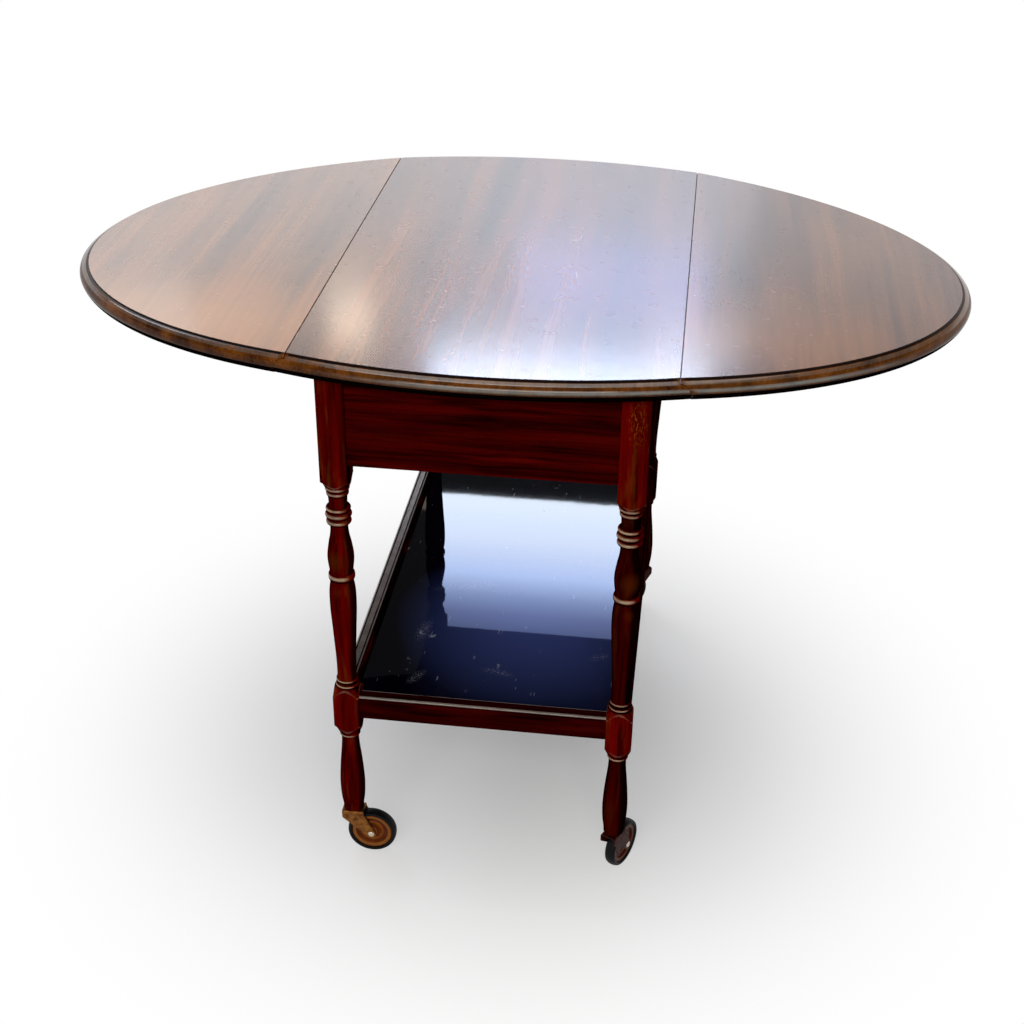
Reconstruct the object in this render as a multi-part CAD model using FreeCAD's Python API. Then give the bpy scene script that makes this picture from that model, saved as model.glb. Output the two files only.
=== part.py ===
import FreeCAD, Part
import math
import os
from FreeCAD import Vector, Rotation, Placement

os.makedirs("parts", exist_ok=True)

# Drop leaf tea trolley, in millimetres. X runs along the open oval top, Y across it,
# Z up, and the origin is on the floor under the middle of the trolley.

# The oval top
overall_height = 719.0
half_length = 552.0          # half the long axis of the oval, leaves lying level
half_width = 375.5           # half the short axis
top_thickness = 22.2
leaf_length = 340.5          # from each joint line to the tip of its leaf
leaf_sag = 2.25              # degrees that each leaf hangs below level on its stay

# Moulding round the oval: inset from the edge and depth below the top
edge_moulding = [(12.4, 0.0), (12.1, 1.8), (8.8, 2.3), (5.4, 3.7), (2.5, 5.8), (0.7, 8.4), (0.0, 11.2),
                 (0.4, 14.2), (1.7, 17.4), (3.5, 20.2), (5.6, 22.2)]

# Rule joints between the fixed panel and the leaves
joint_fillet = 4.0           # square step above the round
joint_radius = 13.5          # round on the fixed panel
joint_gap = 0.4              # between the round and the hollow of the leaf
joint_open = 0.4             # between panel and leaf at the top

# Table hinges, two under each leaf
hinge_spread = 200.0         # from the middle to each hinge
hinge_length = 70.0
knuckle_count = 5
knuckle_radius = 3.0
hinge_pin_radius = 1.5
pin_clearance = 0.05         # radial, wherever a part turns on a pin
flap_thickness = 2.0
plate_reach = 30.0           # fixed plate, from the hinge pin inwards
flap_reach = 46.0            # leaf flap, from the hinge pin outwards
knuckle_side_gap = 0.35
notch_reach = 6.2            # each plate stops here opposite the other plate's knuckles
hinge_screw_radius = 1.6
hinge_screw_length = 12.0
hinge_screw_end = 13.0       # pair of screws, from the ends of the hinge
plate_screw_pair = 14.0      # screws out from the pin, a pair and then one
plate_screw_one = 25.0
flap_screw_pair = 22.0
flap_screw_one = 38.0
hinge_recess_gap = 0.5       # round the knuckles
knuckle_room = 0.6
flap_swing_room = 2.0

# Legs, square where rails join them and turned between
leg_from_joint = 43.5        # from the joint line in to the leg's axis
leg_from_end = 62.8          # from the end of the fixed panel in to the leg's axis
leg_square = 32.0
leg_block_drop = 20.7        # upper square below the aprons

# Aprons under the top
apron_depth = 117.6
apron_thickness = 19.0
apron_setback = 3.0          # behind the outer face of the leg
tenon_thickness = 8.0
tenon_length = 14.0
tenon_shoulder = 8.0         # rail above and below each tenon

# Bearers and corner blocks that hold the top down
bearer_width = 45.0
bearer_depth = 20.0
bearer_spread = 130.0        # from the middle to each bearer
bearer_tenon = 8.0
bearer_tenon_side = 6.0      # shoulders beside and above the tenon
bearer_tenon_cover = 5.0
bearer_screw_in = 52.0       # outer screws, from the aprons
block_leg = 62.0             # legs of the three-cornered block
block_height = 38.0
top_screw_radius = 2.2
top_screw_bite = 14.0        # length of screw in the top

# Tray
tray_rail_height = 32.7
tray_rail_thickness = 16.0
tray_rail_setback = 4.0
tray_tenon_thickness = 7.0
tray_tenon_shoulder = 5.0
tray_lip = 9.0               # panel below the top of the rail
tray_panel_thickness = 9.0
tray_panel_gap = 0.5         # round the panel for movement
tray_cleat = 12.0            # square section
tray_bead = 6.0
tray_edge_bead = 3.2         # along both top edges of each rail
tray_quirk = 0.6             # half the width of the groove beside that bead
tray_screw_radius = 1.75
tray_screw_length = 22.0
cleat_screw_end = 76.7       # outer screws of the side cleats, from their ends
cleat_screw_middle = 75.0    # inner screws, from the middle
end_screw_in = 42.0          # outer screws of the end cleats, from their ends

# Leaf stays, one hinged under each leaf
stay_standoff = 13.0         # pivot out from the face of the side apron
stay_pivot_drop = 95.8       # pivot below the underside of the top
stay_reach = 110.0           # from the leaf hinge to where the stay bears
stay_thickness = 13.0
stay_width = 24.0
stay_rest_gap = 0.35
stay_pin_radius = 3.0
stay_pin_head = 1.5          # riveted over this much wider and deeper
rest_thickness = 2.0
rest_length = 40.0
rest_width = 36.0
bracket_plate = 3.0
bracket_height = 58.0
bracket_width = 56.0
bracket_margin = 3.8         # above the bottom edge of the apron
bracket_screw_in = 8.0       # from the edges of the plate
bracket_screw_length = 18.0
lug_thickness = 3.0
lug_radius = 7.0
lug_gap = 0.4                # each side of the stay
bracket_screw_radius = 2.0

# Casters
wheel_radius = 31.75
tyre_depth = 5.85
tyre_width = 14.0
wheel_trail = 23.0           # axle behind the swivel
disc_width = 10.0
hub_width = 16.0
axle_radius = 2.5
fork_sheet = 2.0
fork_gap = 0.5               # between hub and cheek
fork_crown_length = 28.0
fork_clearance = 1.9         # between the tyre and the crown above it
fork_eye_radius = 6.0
fork_front_drop = 3.0        # cheek below the crown at its front edge
fork_back_drop = 9.0
crown_gap = 0.4              # between crown and socket flange
rivet_lip = 1.6
rivet_height = 1.4
web_half = 2.2               # half the thickness of the wheel's web
wheel_rim = 5.0
hub_boss_radius = 7.0
hub_radius = 5.2
tyre_lip = 1.2
tyre_shoulder = 3.0
tyre_round = 1.0
stem_radius = 4.0
stem_head_radius = 4.9
stem_head_height = 5.6
stem_head_lift = 0.6
stem_swage = 1.4
socket_radius = 6.0
socket_depth = 40.0
chamber_depth = 9.0          # room for the stem head, from the top of the socket
chamber_height = 7.5
chamber_gap = 0.2
socket_flange_radius = 9.5
socket_flange = 1.2
# Where each caster points, in degrees from +X to its axle
casters = [("front_left", -1, -1, 0.0), ("front_right", 1, -1, 64.5),
           ("back_left", -1, 1, 155.0), ("back_right", 1, 1, 225.0)]

joint_line = half_length - leaf_length
leg_x = joint_line - leg_from_joint
leg_y = half_width - leg_from_end
underside = overall_height - top_thickness
hinge_height = overall_height - joint_fillet - joint_radius
hinge_to_underside = hinge_height - underside
leaf_radius = joint_radius + joint_gap
leg_face = leg_square / 2.0
crown_top = 2.0 * wheel_radius + fork_clearance + fork_sheet
leg_foot_height = crown_top + crown_gap + socket_flange
apron_bottom = underside - apron_depth
block_end = apron_bottom - leg_block_drop
apron_out_x = leg_x + leg_face - apron_setback
apron_out_y = leg_y + leg_face - apron_setback
apron_in_x = apron_out_x - apron_thickness
apron_in_y = apron_out_y - apron_thickness
tray_out_x = leg_x + leg_face - tray_rail_setback
tray_out_y = leg_y + leg_face - tray_rail_setback
tray_in_x = tray_out_x - tray_rail_thickness
tray_in_y = tray_out_y - tray_rail_thickness
hinge_places = (-hinge_spread, hinge_spread)
bearer_places = (-bearer_spread, bearer_spread)
stay_pivot_out = apron_out_x + stay_standoff
stay_pivot_height = underside - stay_pivot_drop


def down(parts):
    """Height of a leg's station. The leg is drawn 650 parts long from the top of the trolley to its
    foot, and the 489.5 below its upper square fill whatever height is left there."""
    return block_end - (parts - 160.5) * (block_end - leg_foot_height) / 489.5


def out(parts):
    """Radius on a leg, in parts of which its square stock is 32."""
    return parts * leg_square / 32.0


tray_rail_top = down(464.0)
tray_panel_top = tray_rail_top - tray_lip
tray_panel_bottom = tray_panel_top - tray_panel_thickness
x_axis = Vector(1, 0, 0)
y_axis = Vector(0, 1, 0)
z_axis = Vector(0, 0, 1)


def box(x0, x1, y0, y1, z0, z1):
    return Part.makeBox(x1 - x0, y1 - y0, z1 - z0, Vector(x0, y0, z0))


def fused(shapes):
    whole = shapes[0]
    for shape in shapes[1:]:
        whole = whole.fuse(shape)
    return whole.removeSplitter()


def without(shape, cutters):
    for cutter in cutters:
        shape = shape.cut(cutter)
    return shape


def mirrored(shape):
    return shape.mirror(Vector(0, 0, 0), x_axis)


def save(name, solids):
    shape = solids[0] if len(solids) == 1 else Part.makeCompound(solids)
    shape.exportStep("parts/" + name + ".step")


def turned(runs):
    """Turn a profile about a vertical axis. Each run is a list of (height, radius):
    two points make a straight line, more make a smooth curve."""
    edges = []
    for run in runs:
        points = [Vector(r, 0, z) for z, r in run]
        if len(points) == 2:
            edges.append(Part.makeLine(points[0], points[1]))
        else:
            curve = Part.BSplineCurve()
            curve.interpolate(points)
            edges.append(curve.toShape())
    first, last = runs[0][0], runs[-1][-1]
    edges.append(Part.makeLine(Vector(last[1], 0, last[0]), Vector(0, 0, last[0])))
    edges.append(Part.makeLine(Vector(0, 0, last[0]), Vector(0, 0, first[0])))
    edges.append(Part.makeLine(Vector(0, 0, first[0]), Vector(first[1], 0, first[0])))
    shape = Part.Face(Part.Wire(Part.__sortEdges__(edges))).revolve(Vector(0, 0, 0), z_axis, 360)
    if shape.Volume < 0:
        shape.reverse()
    return shape


def bead(low, high, neck, crown):
    """Points of a round bead between two heights."""
    middle = (low + high) / 2.0
    return [(low, neck), (low + (high - low) * 0.2, neck + (crown - neck) * 0.75), (middle, crown),
            (high - (high - low) * 0.2, neck + (crown - neck) * 0.75), (high, neck)]


def screw(point, direction, length, radius, head_radius):
    """Countersunk screw with its head flush at the point, driven along the direction."""
    head = Part.makeCone(head_radius, radius, head_radius - radius)
    shank = Part.makeCylinder(radius, length - 2.0 * radius)
    tip = Part.makeCone(radius, radius * 0.25, 2.0 * radius, Vector(0, 0, length - 2.0 * radius))
    whole = fused([head, shank, tip])
    whole.Placement = Placement(point, Rotation(z_axis, direction))
    return whole


# The oval board, before it is parted into panel and leaves

def oval_wire(inset, height):
    oval = Part.Ellipse(Vector(0, 0, height), half_length - inset, half_width - inset)
    return Part.Wire([oval.toShape()])


def oval_board():
    wires = [oval_wire(inset, overall_height - depth) for inset, depth in edge_moulding]
    return Part.makeLoft(wires, True, True)


def joint_face(radius, start, reach):
    """Section from the rule joint outwards to a reach, on the right-hand side."""
    top_drop = math.sqrt(radius ** 2 - start ** 2)
    foot = math.sqrt(radius ** 2 - (hinge_to_underside + 1.0) ** 2)
    middle_angle = math.radians(35.0)
    top = overall_height + 1.0
    low = underside - 1.0
    p1 = Vector(joint_line + start, 0, top)
    p2 = Vector(joint_line + start, 0, hinge_height + top_drop)
    p3 = Vector(joint_line + radius * math.cos(middle_angle), 0,
                hinge_height + radius * math.sin(middle_angle))
    p4 = Vector(joint_line + foot, 0, low)
    p5 = Vector(reach, 0, low)
    p6 = Vector(reach, 0, top)
    edges = [Part.makeLine(p1, p2), Part.Arc(p2, p3, p4).toShape(), Part.makeLine(p4, p5),
             Part.makeLine(p5, p6), Part.makeLine(p6, p1)]
    face = Part.Face(Part.Wire(edges))
    face.translate(Vector(0, -half_width - 10.0, 0))
    return face.extrude(Vector(0, 2.0 * half_width + 20.0, 0))


def sagged(shape):
    """Turn a level right-hand leaf part down to where the stay holds it."""
    shape = shape.copy()
    shape.rotate(Vector(joint_line, 0, hinge_height), y_axis, leaf_sag)
    return shape


def knuckle_span(index):
    each = hinge_length / knuckle_count
    low = -hinge_length / 2.0 + index * each
    gap = knuckle_side_gap / 2.0
    return (low + (gap if index > 0 else 0.0), low + each - (gap if index < knuckle_count - 1 else 0.0))


def hinge_part(place, fixed):
    """Plate and knuckles of one hinge, level, on the right. The fixed half has the
    outer knuckles, the leaf half has the ones between."""
    side = -1.0 if fixed else 1.0
    reach = plate_reach if fixed else flap_reach
    bore = hinge_pin_radius + (0.0 if fixed else pin_clearance)
    plate_top = underside + flap_thickness
    near, far = sorted((joint_line + side * notch_reach, joint_line + side * reach))
    pieces = [box(near, far, place - hinge_length / 2.0, place + hinge_length / 2.0, underside, plate_top)]
    bores = []
    for index in range(0 if fixed else 1, knuckle_count, 2):
        low, high = knuckle_span(index)
        near, far = sorted((joint_line - side * knuckle_radius * 0.4,
                            joint_line + side * (notch_reach + 1.0)))
        pieces.append(box(near, far, place + low, place + high, underside, plate_top))
        centre = Vector(joint_line, place + low, hinge_height)
        pieces.append(Part.makeCylinder(knuckle_radius, high - low, centre, y_axis))
        bores.append(Part.makeCylinder(bore, high - low, centre, y_axis))
    return without(fused(pieces), bores)


def hinge_screws(place, fixed):
    side = -1.0 if fixed else 1.0
    pair, one = (plate_screw_pair, plate_screw_one) if fixed else (flap_screw_pair, flap_screw_one)
    beside = hinge_length / 2.0 - hinge_screw_end
    spots = ((pair, -beside), (pair, beside), (one, 0.0))
    return [screw(Vector(joint_line + side * away, place + along, underside), z_axis,
                  hinge_screw_length, hinge_screw_radius, 2.0 * hinge_screw_radius)
            for away, along in spots]


fixed_hinges = [hinge_part(place, True) for place in hinge_places]
leaf_hinges = [hinge_part(place, False) for place in hinge_places]
fixed_screws = [s for place in hinge_places for s in hinge_screws(place, True)]
leaf_screws = [s for place in hinge_places for s in hinge_screws(place, False)]
hinge_pins = [Part.makeCylinder(hinge_pin_radius, hinge_length,
                                Vector(joint_line, place - hinge_length / 2.0, hinge_height), y_axis)
              for place in hinge_places]


def panel_hinge_recess(place):
    """Room in the fixed panel for the plate, the knuckles and the swing of the leaf flap."""
    half = hinge_length / 2.0
    end_gap = hinge_recess_gap
    plate = box(joint_line - plate_reach, joint_line - notch_reach, place - half, place + half,
                underside, underside + flap_thickness)
    knuckles = box(joint_line - notch_reach, joint_line + knuckle_radius + knuckle_room,
                   place - half - end_gap, place + half + end_gap, underside - 1.0,
                   hinge_height + knuckle_radius + hinge_recess_gap)
    crossing = box(joint_line, joint_line + joint_radius + flap_swing_room, place - half - end_gap,
                   place + half + end_gap, underside - 1.0, underside + flap_thickness + hinge_recess_gap)
    return [plate, knuckles, crossing]


def leaf_hinge_recess(place):
    half = hinge_length / 2.0
    return box(joint_line, joint_line + flap_reach, place - half, place + half, underside,
               underside + flap_thickness)


# Stay geometry on the right, with the leaf level, then turned with it
stay_hole = stay_pin_radius + pin_clearance
bearing_drop = hinge_to_underside + rest_thickness + stay_rest_gap + stay_thickness / 2.0
sag = math.radians(leaf_sag)
stay_tip_x = joint_line + stay_reach * math.cos(sag) - bearing_drop * math.sin(sag)
stay_tip_z = hinge_height - stay_reach * math.sin(sag) - bearing_drop * math.cos(sag)
stay_length = math.hypot(stay_tip_x - stay_pivot_out, stay_tip_z - stay_pivot_height)
stay_rise = math.degrees(math.atan2(stay_tip_z - stay_pivot_height, stay_tip_x - stay_pivot_out))


def stay():
    half = stay_thickness / 2.0
    bar = box(0.0, stay_length, -stay_width / 2.0, stay_width / 2.0, -half, half)
    ends = [Part.makeCylinder(half, stay_width, Vector(x, -stay_width / 2.0, 0), y_axis)
            for x in (0.0, stay_length)]
    hole = Part.makeCylinder(stay_hole, stay_width, Vector(0, -stay_width / 2.0, 0), y_axis)
    shape = fused([bar] + ends).cut(hole)
    shape.rotate(Vector(0, 0, 0), y_axis, -stay_rise)
    shape.translate(Vector(stay_pivot_out, 0, stay_pivot_height))
    return shape


lug_inner = stay_width / 2.0 + lug_gap
bracket_low = apron_bottom + bracket_margin
bracket_spots = [(sy * (bracket_width / 2.0 - bracket_screw_in), bracket_low + h) for sy in (-1, 1)
                 for h in (bracket_screw_in, bracket_height - bracket_screw_in)]


def stay_bracket():
    """Plate on the side apron with a lug each side of the stay."""
    pieces = [box(apron_out_x, apron_out_x + bracket_plate, -bracket_width / 2.0, bracket_width / 2.0,
                  bracket_low, bracket_low + bracket_height)]
    for low in (-lug_inner - lug_thickness, lug_inner):
        pieces.append(box(apron_out_x, stay_pivot_out, low, low + lug_thickness,
                          stay_pivot_height - lug_radius, stay_pivot_height + lug_radius))
        pieces.append(Part.makeCylinder(lug_radius, lug_thickness,
                                        Vector(stay_pivot_out, low, stay_pivot_height), y_axis))
    end = lug_inner + lug_thickness
    pin_hole = Part.makeCylinder(stay_pin_radius, 2.0 * end,
                                 Vector(stay_pivot_out, -end, stay_pivot_height), y_axis)
    return without(fused(pieces), [pin_hole] + bracket_screws())


def bracket_screws():
    return [screw(Vector(apron_out_x + bracket_plate, y, z), Vector(-1, 0, 0), bracket_screw_length,
                  bracket_screw_radius, 1.9 * bracket_screw_radius) for y, z in bracket_spots]


def stay_pin():
    """Pin through both lugs, riveted over at each end."""
    end = lug_inner + lug_thickness
    shank = Part.makeCylinder(stay_pin_radius, 2.0 * end,
                              Vector(stay_pivot_out, -end, stay_pivot_height), y_axis)
    heads = [Part.makeCylinder(stay_pin_radius + stay_pin_head, stay_pin_head,
                               Vector(stay_pivot_out, y, stay_pivot_height), y_axis)
             for y in (-end - stay_pin_head, end)]
    return fused([shank] + heads)


def stay_rest():
    """Plate let on to the underside of the leaf where the stay bears."""
    middle = joint_line + stay_reach
    return box(middle - rest_length / 2.0, middle + rest_length / 2.0, -rest_width / 2.0, rest_width / 2.0,
               underside - rest_thickness, underside)


# Tops

board = oval_board()
leaf_zone = joint_face(leaf_radius, joint_open, half_length + 20.0)
panel_zone = joint_face(joint_radius, 0.0, half_length + 20.0)
right_leaf = board.common(leaf_zone)
right_leaf = without(right_leaf, [leaf_hinge_recess(place) for place in hinge_places] + leaf_screws)
panel_cutters = [cutter for place in hinge_places for cutter in panel_hinge_recess(place)] + fixed_screws


# Legs

def lathe_leg():
    """Turned lengths of a leg, each station as parts down from the top and parts out from the axis."""
    def curve(*stations):
        return [(down(parts), out(radius)) for parts, radius in stations]

    def ring(low, high, neck, crown):
        return bead(down(low), down(high), out(neck), out(crown))

    # From the foot to the shoulder under the lower square
    lower = turned([
        curve((650.0, 12.8), (646.0, 12.9), (641.0, 13.3), (634.5, 14.3), (628.0, 15.0), (620.0, 15.5),
              (608.0, 15.8), (595.0, 15.3), (581.0, 14.4), (568.0, 13.3), (555.0, 12.0), (545.0, 11.1),
              (537.0, 10.8)),
        curve((537.0, 10.8), (530.5, 10.8)),
        ring(530.5, 526.0, 10.8, 12.9),
        curve((526.0, 10.8), (526.0, 12.6)),
        curve((526.0, 12.6), (520.0, 15.5)),
    ])
    # From the lower square to the shoulder under the upper one
    middle = turned([
        curve((454.0, 15.6), (453.6, 13.0)),
        ring(453.6, 449.0, 13.0, 14.3),
        curve((449.0, 13.0), (446.4, 12.0)),
        ring(446.4, 441.8, 12.0, 13.4),
        curve((441.8, 12.0), (430.0, 11.8), (412.5, 12.2), (400.0, 12.7), (389.0, 13.3), (377.0, 13.9),
              (365.0, 14.5), (353.5, 15.2), (342.0, 15.8), (330.0, 16.0), (319.0, 15.9), (313.0, 15.5),
              (307.5, 14.9), (302.0, 14.0)),
        curve((302.0, 14.0), (299.0, 13.6)),
        ring(299.0, 288.5, 13.6, 15.9),
        curve((288.5, 13.6), (285.0, 14.1)),
        curve((285.0, 14.1), (279.5, 14.8), (274.0, 15.4), (268.0, 15.7), (263.0, 15.5), (257.0, 14.8),
              (252.0, 14.0), (246.0, 13.0), (241.0, 11.9), (235.5, 11.0), (230.0, 10.5), (222.4, 10.4)),
        ring(222.4, 214.6, 10.4, 14.8),
        curve((214.6, 10.4), (213.6, 10.6)),
        ring(213.6, 205.4, 10.6, 15.6),
        curve((205.4, 10.6), (204.6, 10.8)),
        ring(204.6, 198.4, 10.8, 14.6),
        curve((198.4, 10.8), (191.0, 10.9), (184.0, 11.4)),
        ring(184.0, 178.0, 11.4, 13.2),
        curve((178.0, 11.4), (177.0, 12.2)),
        ring(177.0, 171.4, 12.2, 14.4),
        curve((171.4, 12.2), (171.0, 15.2)),
    ])
    return lower, middle


def square_with_shoulders(low, high, runs):
    """Square length whose ends are turned away, as a lathe leaves them."""
    block = box(-leg_face, leg_face, -leg_face, leg_face, low, high)
    return block.common(turned(runs))


corner_reach = leg_face * math.sqrt(2.0) + out(1.0)


def leg():
    """One leg about its own axis, before its mortises are cut."""
    lower, middle = lathe_leg()
    upper_block = square_with_shoulders(down(171.0), underside, [
        [(down(171.0), out(15.2)), (down(168.0), out(16.6)), (down(164.0), out(19.2)),
         (down(160.5), corner_reach)],
        [(down(160.5), corner_reach), (underside, corner_reach)]])
    lower_block = square_with_shoulders(down(520.0), down(454.0), [
        [(down(520.0), out(15.5)), (down(516.0), out(17.3)), (down(511.0), out(20.4)),
         (down(507.5), corner_reach)],
        [(down(507.5), corner_reach), (down(466.5), corner_reach)],
        [(down(466.5), corner_reach), (down(463.0), out(20.4)), (down(458.0), out(17.3)),
         (down(454.0), out(15.6))]])
    return fused([lower, lower_block, middle, upper_block])


def rail(long_x, out_face, in_face, low, high, half_span, tenon_thick, shoulder, moulding=None):
    """Rail between two legs with a tenon at each end, on the positive side. A rail that
    runs along Y lies at +X, one that runs along X lies at +Y."""
    middle = (out_face + in_face) / 2.0
    body = (-half_span, half_span, in_face, out_face, low, high)
    tenon = (-half_span - tenon_length, half_span + tenon_length, middle - tenon_thick / 2.0,
             middle + tenon_thick / 2.0, low + shoulder, high - shoulder)
    pieces = []
    for a0, a1, b0, b1, z0, z1 in (body, tenon):
        pieces.append(box(a0, a1, b0, b1, z0, z1) if long_x else box(b0, b1, a0, a1, z0, z1))
    body_solid = pieces[0]
    if moulding:
        body_solid = without(body_solid, moulding(long_x, half_span, out_face, in_face, high))
    return fused([body_solid, pieces[1]])


def tray_rail_moulding(long_x, half_span, out_face, in_face, high):
    """Quirks and rounded corners that leave a bead along each top edge of a tray rail."""
    cutters = []
    reach = half_span + 1.0
    for face, inward in ((out_face, -1.0), (in_face, 1.0)):
        size = tray_edge_bead
        # A square corner less a quarter round leaves the round bead
        lo, hi = sorted((face, face + inward * size))
        if long_x:
            block = box(-reach, reach, lo, hi, high - size, high)
            rod = Part.makeCylinder(size, 2.0 * reach,
                                    Vector(-reach, face + inward * size, high - size), x_axis)
        else:
            block = box(lo, hi, -reach, reach, high - size, high)
            rod = Part.makeCylinder(size, 2.0 * reach,
                                    Vector(face + inward * size, -reach, high - size), y_axis)
        cutters.append(block.cut(rod))
        quirk = face + inward * (size + tray_quirk)
        lo, hi = sorted((quirk - tray_quirk, quirk + tray_quirk))
        if long_x:
            cutters.append(box(-reach, reach, lo, hi, high - 2.0 * tray_quirk, high + 1.0))
        else:
            cutters.append(box(lo, hi, -reach, reach, high - 2.0 * tray_quirk, high + 1.0))
    return cutters


inner_x = leg_x - leg_face
inner_y = leg_y - leg_face
back_apron = rail(True, apron_out_y, apron_in_y, apron_bottom, underside, inner_x,
                  tenon_thickness, tenon_shoulder)
right_apron = rail(False, apron_out_x, apron_in_x, apron_bottom, underside, inner_y,
                   tenon_thickness, tenon_shoulder)
tray_low = tray_rail_top - tray_rail_height
tray_back_rail = rail(True, tray_out_y, tray_in_y, tray_low, tray_rail_top, inner_x,
                      tray_tenon_thickness, tray_tenon_shoulder, tray_rail_moulding)
tray_right_rail = rail(False, tray_out_x, tray_in_x, tray_low, tray_rail_top, inner_y,
                       tray_tenon_thickness, tray_tenon_shoulder, tray_rail_moulding)


def flipped(shape):
    """The same shape on the other side of the X axis."""
    return shape.mirror(Vector(0, 0, 0), y_axis)


left_apron = mirrored(right_apron)
front_apron = flipped(back_apron)
tray_left_rail = mirrored(tray_right_rail)
tray_front_rail = flipped(tray_back_rail)


# Bearers, corner blocks and the screws that hold the top

def bearer(place):
    body = box(-apron_in_x, apron_in_x, place - bearer_width / 2.0, place + bearer_width / 2.0,
               underside - bearer_depth, underside)
    side = bearer_width / 2.0 - bearer_tenon_side
    tenon = box(-apron_in_x - bearer_tenon, apron_in_x + bearer_tenon, place - side, place + side,
                underside - bearer_depth + bearer_tenon_cover, underside - bearer_tenon_cover)
    return fused([body, tenon])


def corner_block(side_x, side_y):
    low = underside - block_height
    corner = Vector(side_x * apron_in_x, side_y * apron_in_y, low)
    along_x = Vector(side_x * (apron_in_x - block_leg), side_y * apron_in_y, low)
    along_y = Vector(side_x * apron_in_x, side_y * (apron_in_y - block_leg), low)
    face = Part.Face(Part.makePolygon([corner, along_x, along_y, corner]))
    prism = face.extrude(Vector(0, 0, block_height))
    post = box(leg_x - leg_face, leg_x + leg_face, leg_y - leg_face, leg_y + leg_face,
               low - 1.0, underside + 1.0)
    if side_x < 0:
        post = mirrored(post)
    if side_y < 0:
        post = flipped(post)
    return prism.cut(post)


corners = [(-1, -1), (1, -1), (-1, 1), (1, 1)]
bearers = [bearer(place) for place in bearer_places]
blocks = [corner_block(sx, sy) for sx, sy in corners]
top_screws = []
for place in bearer_places:
    for along in (-1.0, 0.0, 1.0):
        spot = along * (apron_in_x - bearer_screw_in)
        top_screws.append(screw(Vector(spot, place, underside - bearer_depth), z_axis,
                                bearer_depth + top_screw_bite, top_screw_radius, 2.0 * top_screw_radius))
block_spot = block_leg * 0.42
for sx, sy in corners:
    top_screws.append(screw(Vector(sx * (apron_in_x - block_spot), sy * (apron_in_y - block_spot),
                                   underside - block_height), z_axis,
                            block_height + top_screw_bite, top_screw_radius, 2.0 * top_screw_radius))
bearers = [without(b, top_screws) for b in bearers]
blocks = [without(b, top_screws) for b in blocks]
centre_panel = board.cut(panel_zone).cut(mirrored(panel_zone))
centre_panel = without(centre_panel, panel_cutters + [mirrored(c) for c in panel_cutters] + top_screws)
right_apron = without(right_apron, bearers + bracket_screws())
left_apron = without(left_apron, bearers + [mirrored(s) for s in bracket_screws()])


# Tray inside its rails

tray_panel = box(-tray_in_x + tray_panel_gap, tray_in_x - tray_panel_gap, -tray_in_y + tray_panel_gap,
                 tray_in_y - tray_panel_gap, tray_panel_bottom, tray_panel_top)
for sx, sy in corners:
    post_x = sorted((sx * (inner_x - tray_panel_gap), sx * (tray_out_x)))
    post_y = sorted((sy * (inner_y - tray_panel_gap), sy * (tray_out_y)))
    tray_panel = tray_panel.cut(box(post_x[0], post_x[1], post_y[0], post_y[1],
                                    tray_panel_bottom - 1.0, tray_panel_top + 1.0))

cleat_top = tray_panel_bottom
cleat_low = cleat_top - tray_cleat
cleats = []
beads = []
cleat_screws = []


def quarter_bead(long_x, half_span, face):
    """Quarter round standing in the corner between the panel and a rail at a positive face."""
    if long_x:
        square = box(-half_span, half_span, face - tray_bead, face,
                     tray_panel_top, tray_panel_top + tray_bead)
        rod = Part.makeCylinder(tray_bead, 2.0 * half_span, Vector(-half_span, face, tray_panel_top), x_axis)
    else:
        square = box(face - tray_bead, face, -half_span, half_span,
                     tray_panel_top, tray_panel_top + tray_bead)
        rod = Part.makeCylinder(tray_bead, 2.0 * half_span, Vector(face, -half_span, tray_panel_top), y_axis)
    return square.common(rod)


side_cleat = box(tray_in_x - tray_cleat, tray_in_x, -inner_y, inner_y, cleat_low, cleat_top)
end_cleat = box(-inner_x, inner_x, tray_in_y - tray_cleat, tray_in_y, cleat_low, cleat_top)
cleat_middle = (cleat_low + cleat_top) / 2.0
outer_screw = inner_y - cleat_screw_end
for along in (-outer_screw, -cleat_screw_middle, cleat_screw_middle, outer_screw):
    one = screw(Vector(tray_in_x - tray_cleat, along, cleat_middle), x_axis, tray_screw_length,
                tray_screw_radius, 2.0 * tray_screw_radius)
    cleat_screws += [one, mirrored(one)]
for along in (end_screw_in - inner_x, 0.0, inner_x - end_screw_in):
    one = screw(Vector(along, tray_in_y - tray_cleat, cleat_middle), y_axis, tray_screw_length,
                tray_screw_radius, 2.0 * tray_screw_radius)
    cleat_screws += [one, flipped(one)]
cleats = [without(c, cleat_screws) for c in (side_cleat, mirrored(side_cleat), end_cleat, flipped(end_cleat))]
beads = [quarter_bead(False, inner_y, tray_in_x), mirrored(quarter_bead(False, inner_y, tray_in_x)),
         quarter_bead(True, inner_x, tray_in_y), flipped(quarter_bead(True, inner_x, tray_in_y))]
tray_right_rail = without(tray_right_rail, cleat_screws)
tray_left_rail = without(tray_left_rail, cleat_screws)
tray_back_rail = without(tray_back_rail, cleat_screws)
tray_front_rail = without(tray_front_rail, cleat_screws)


# Casters, each about its own swivel axis with the axle out along +X

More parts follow.
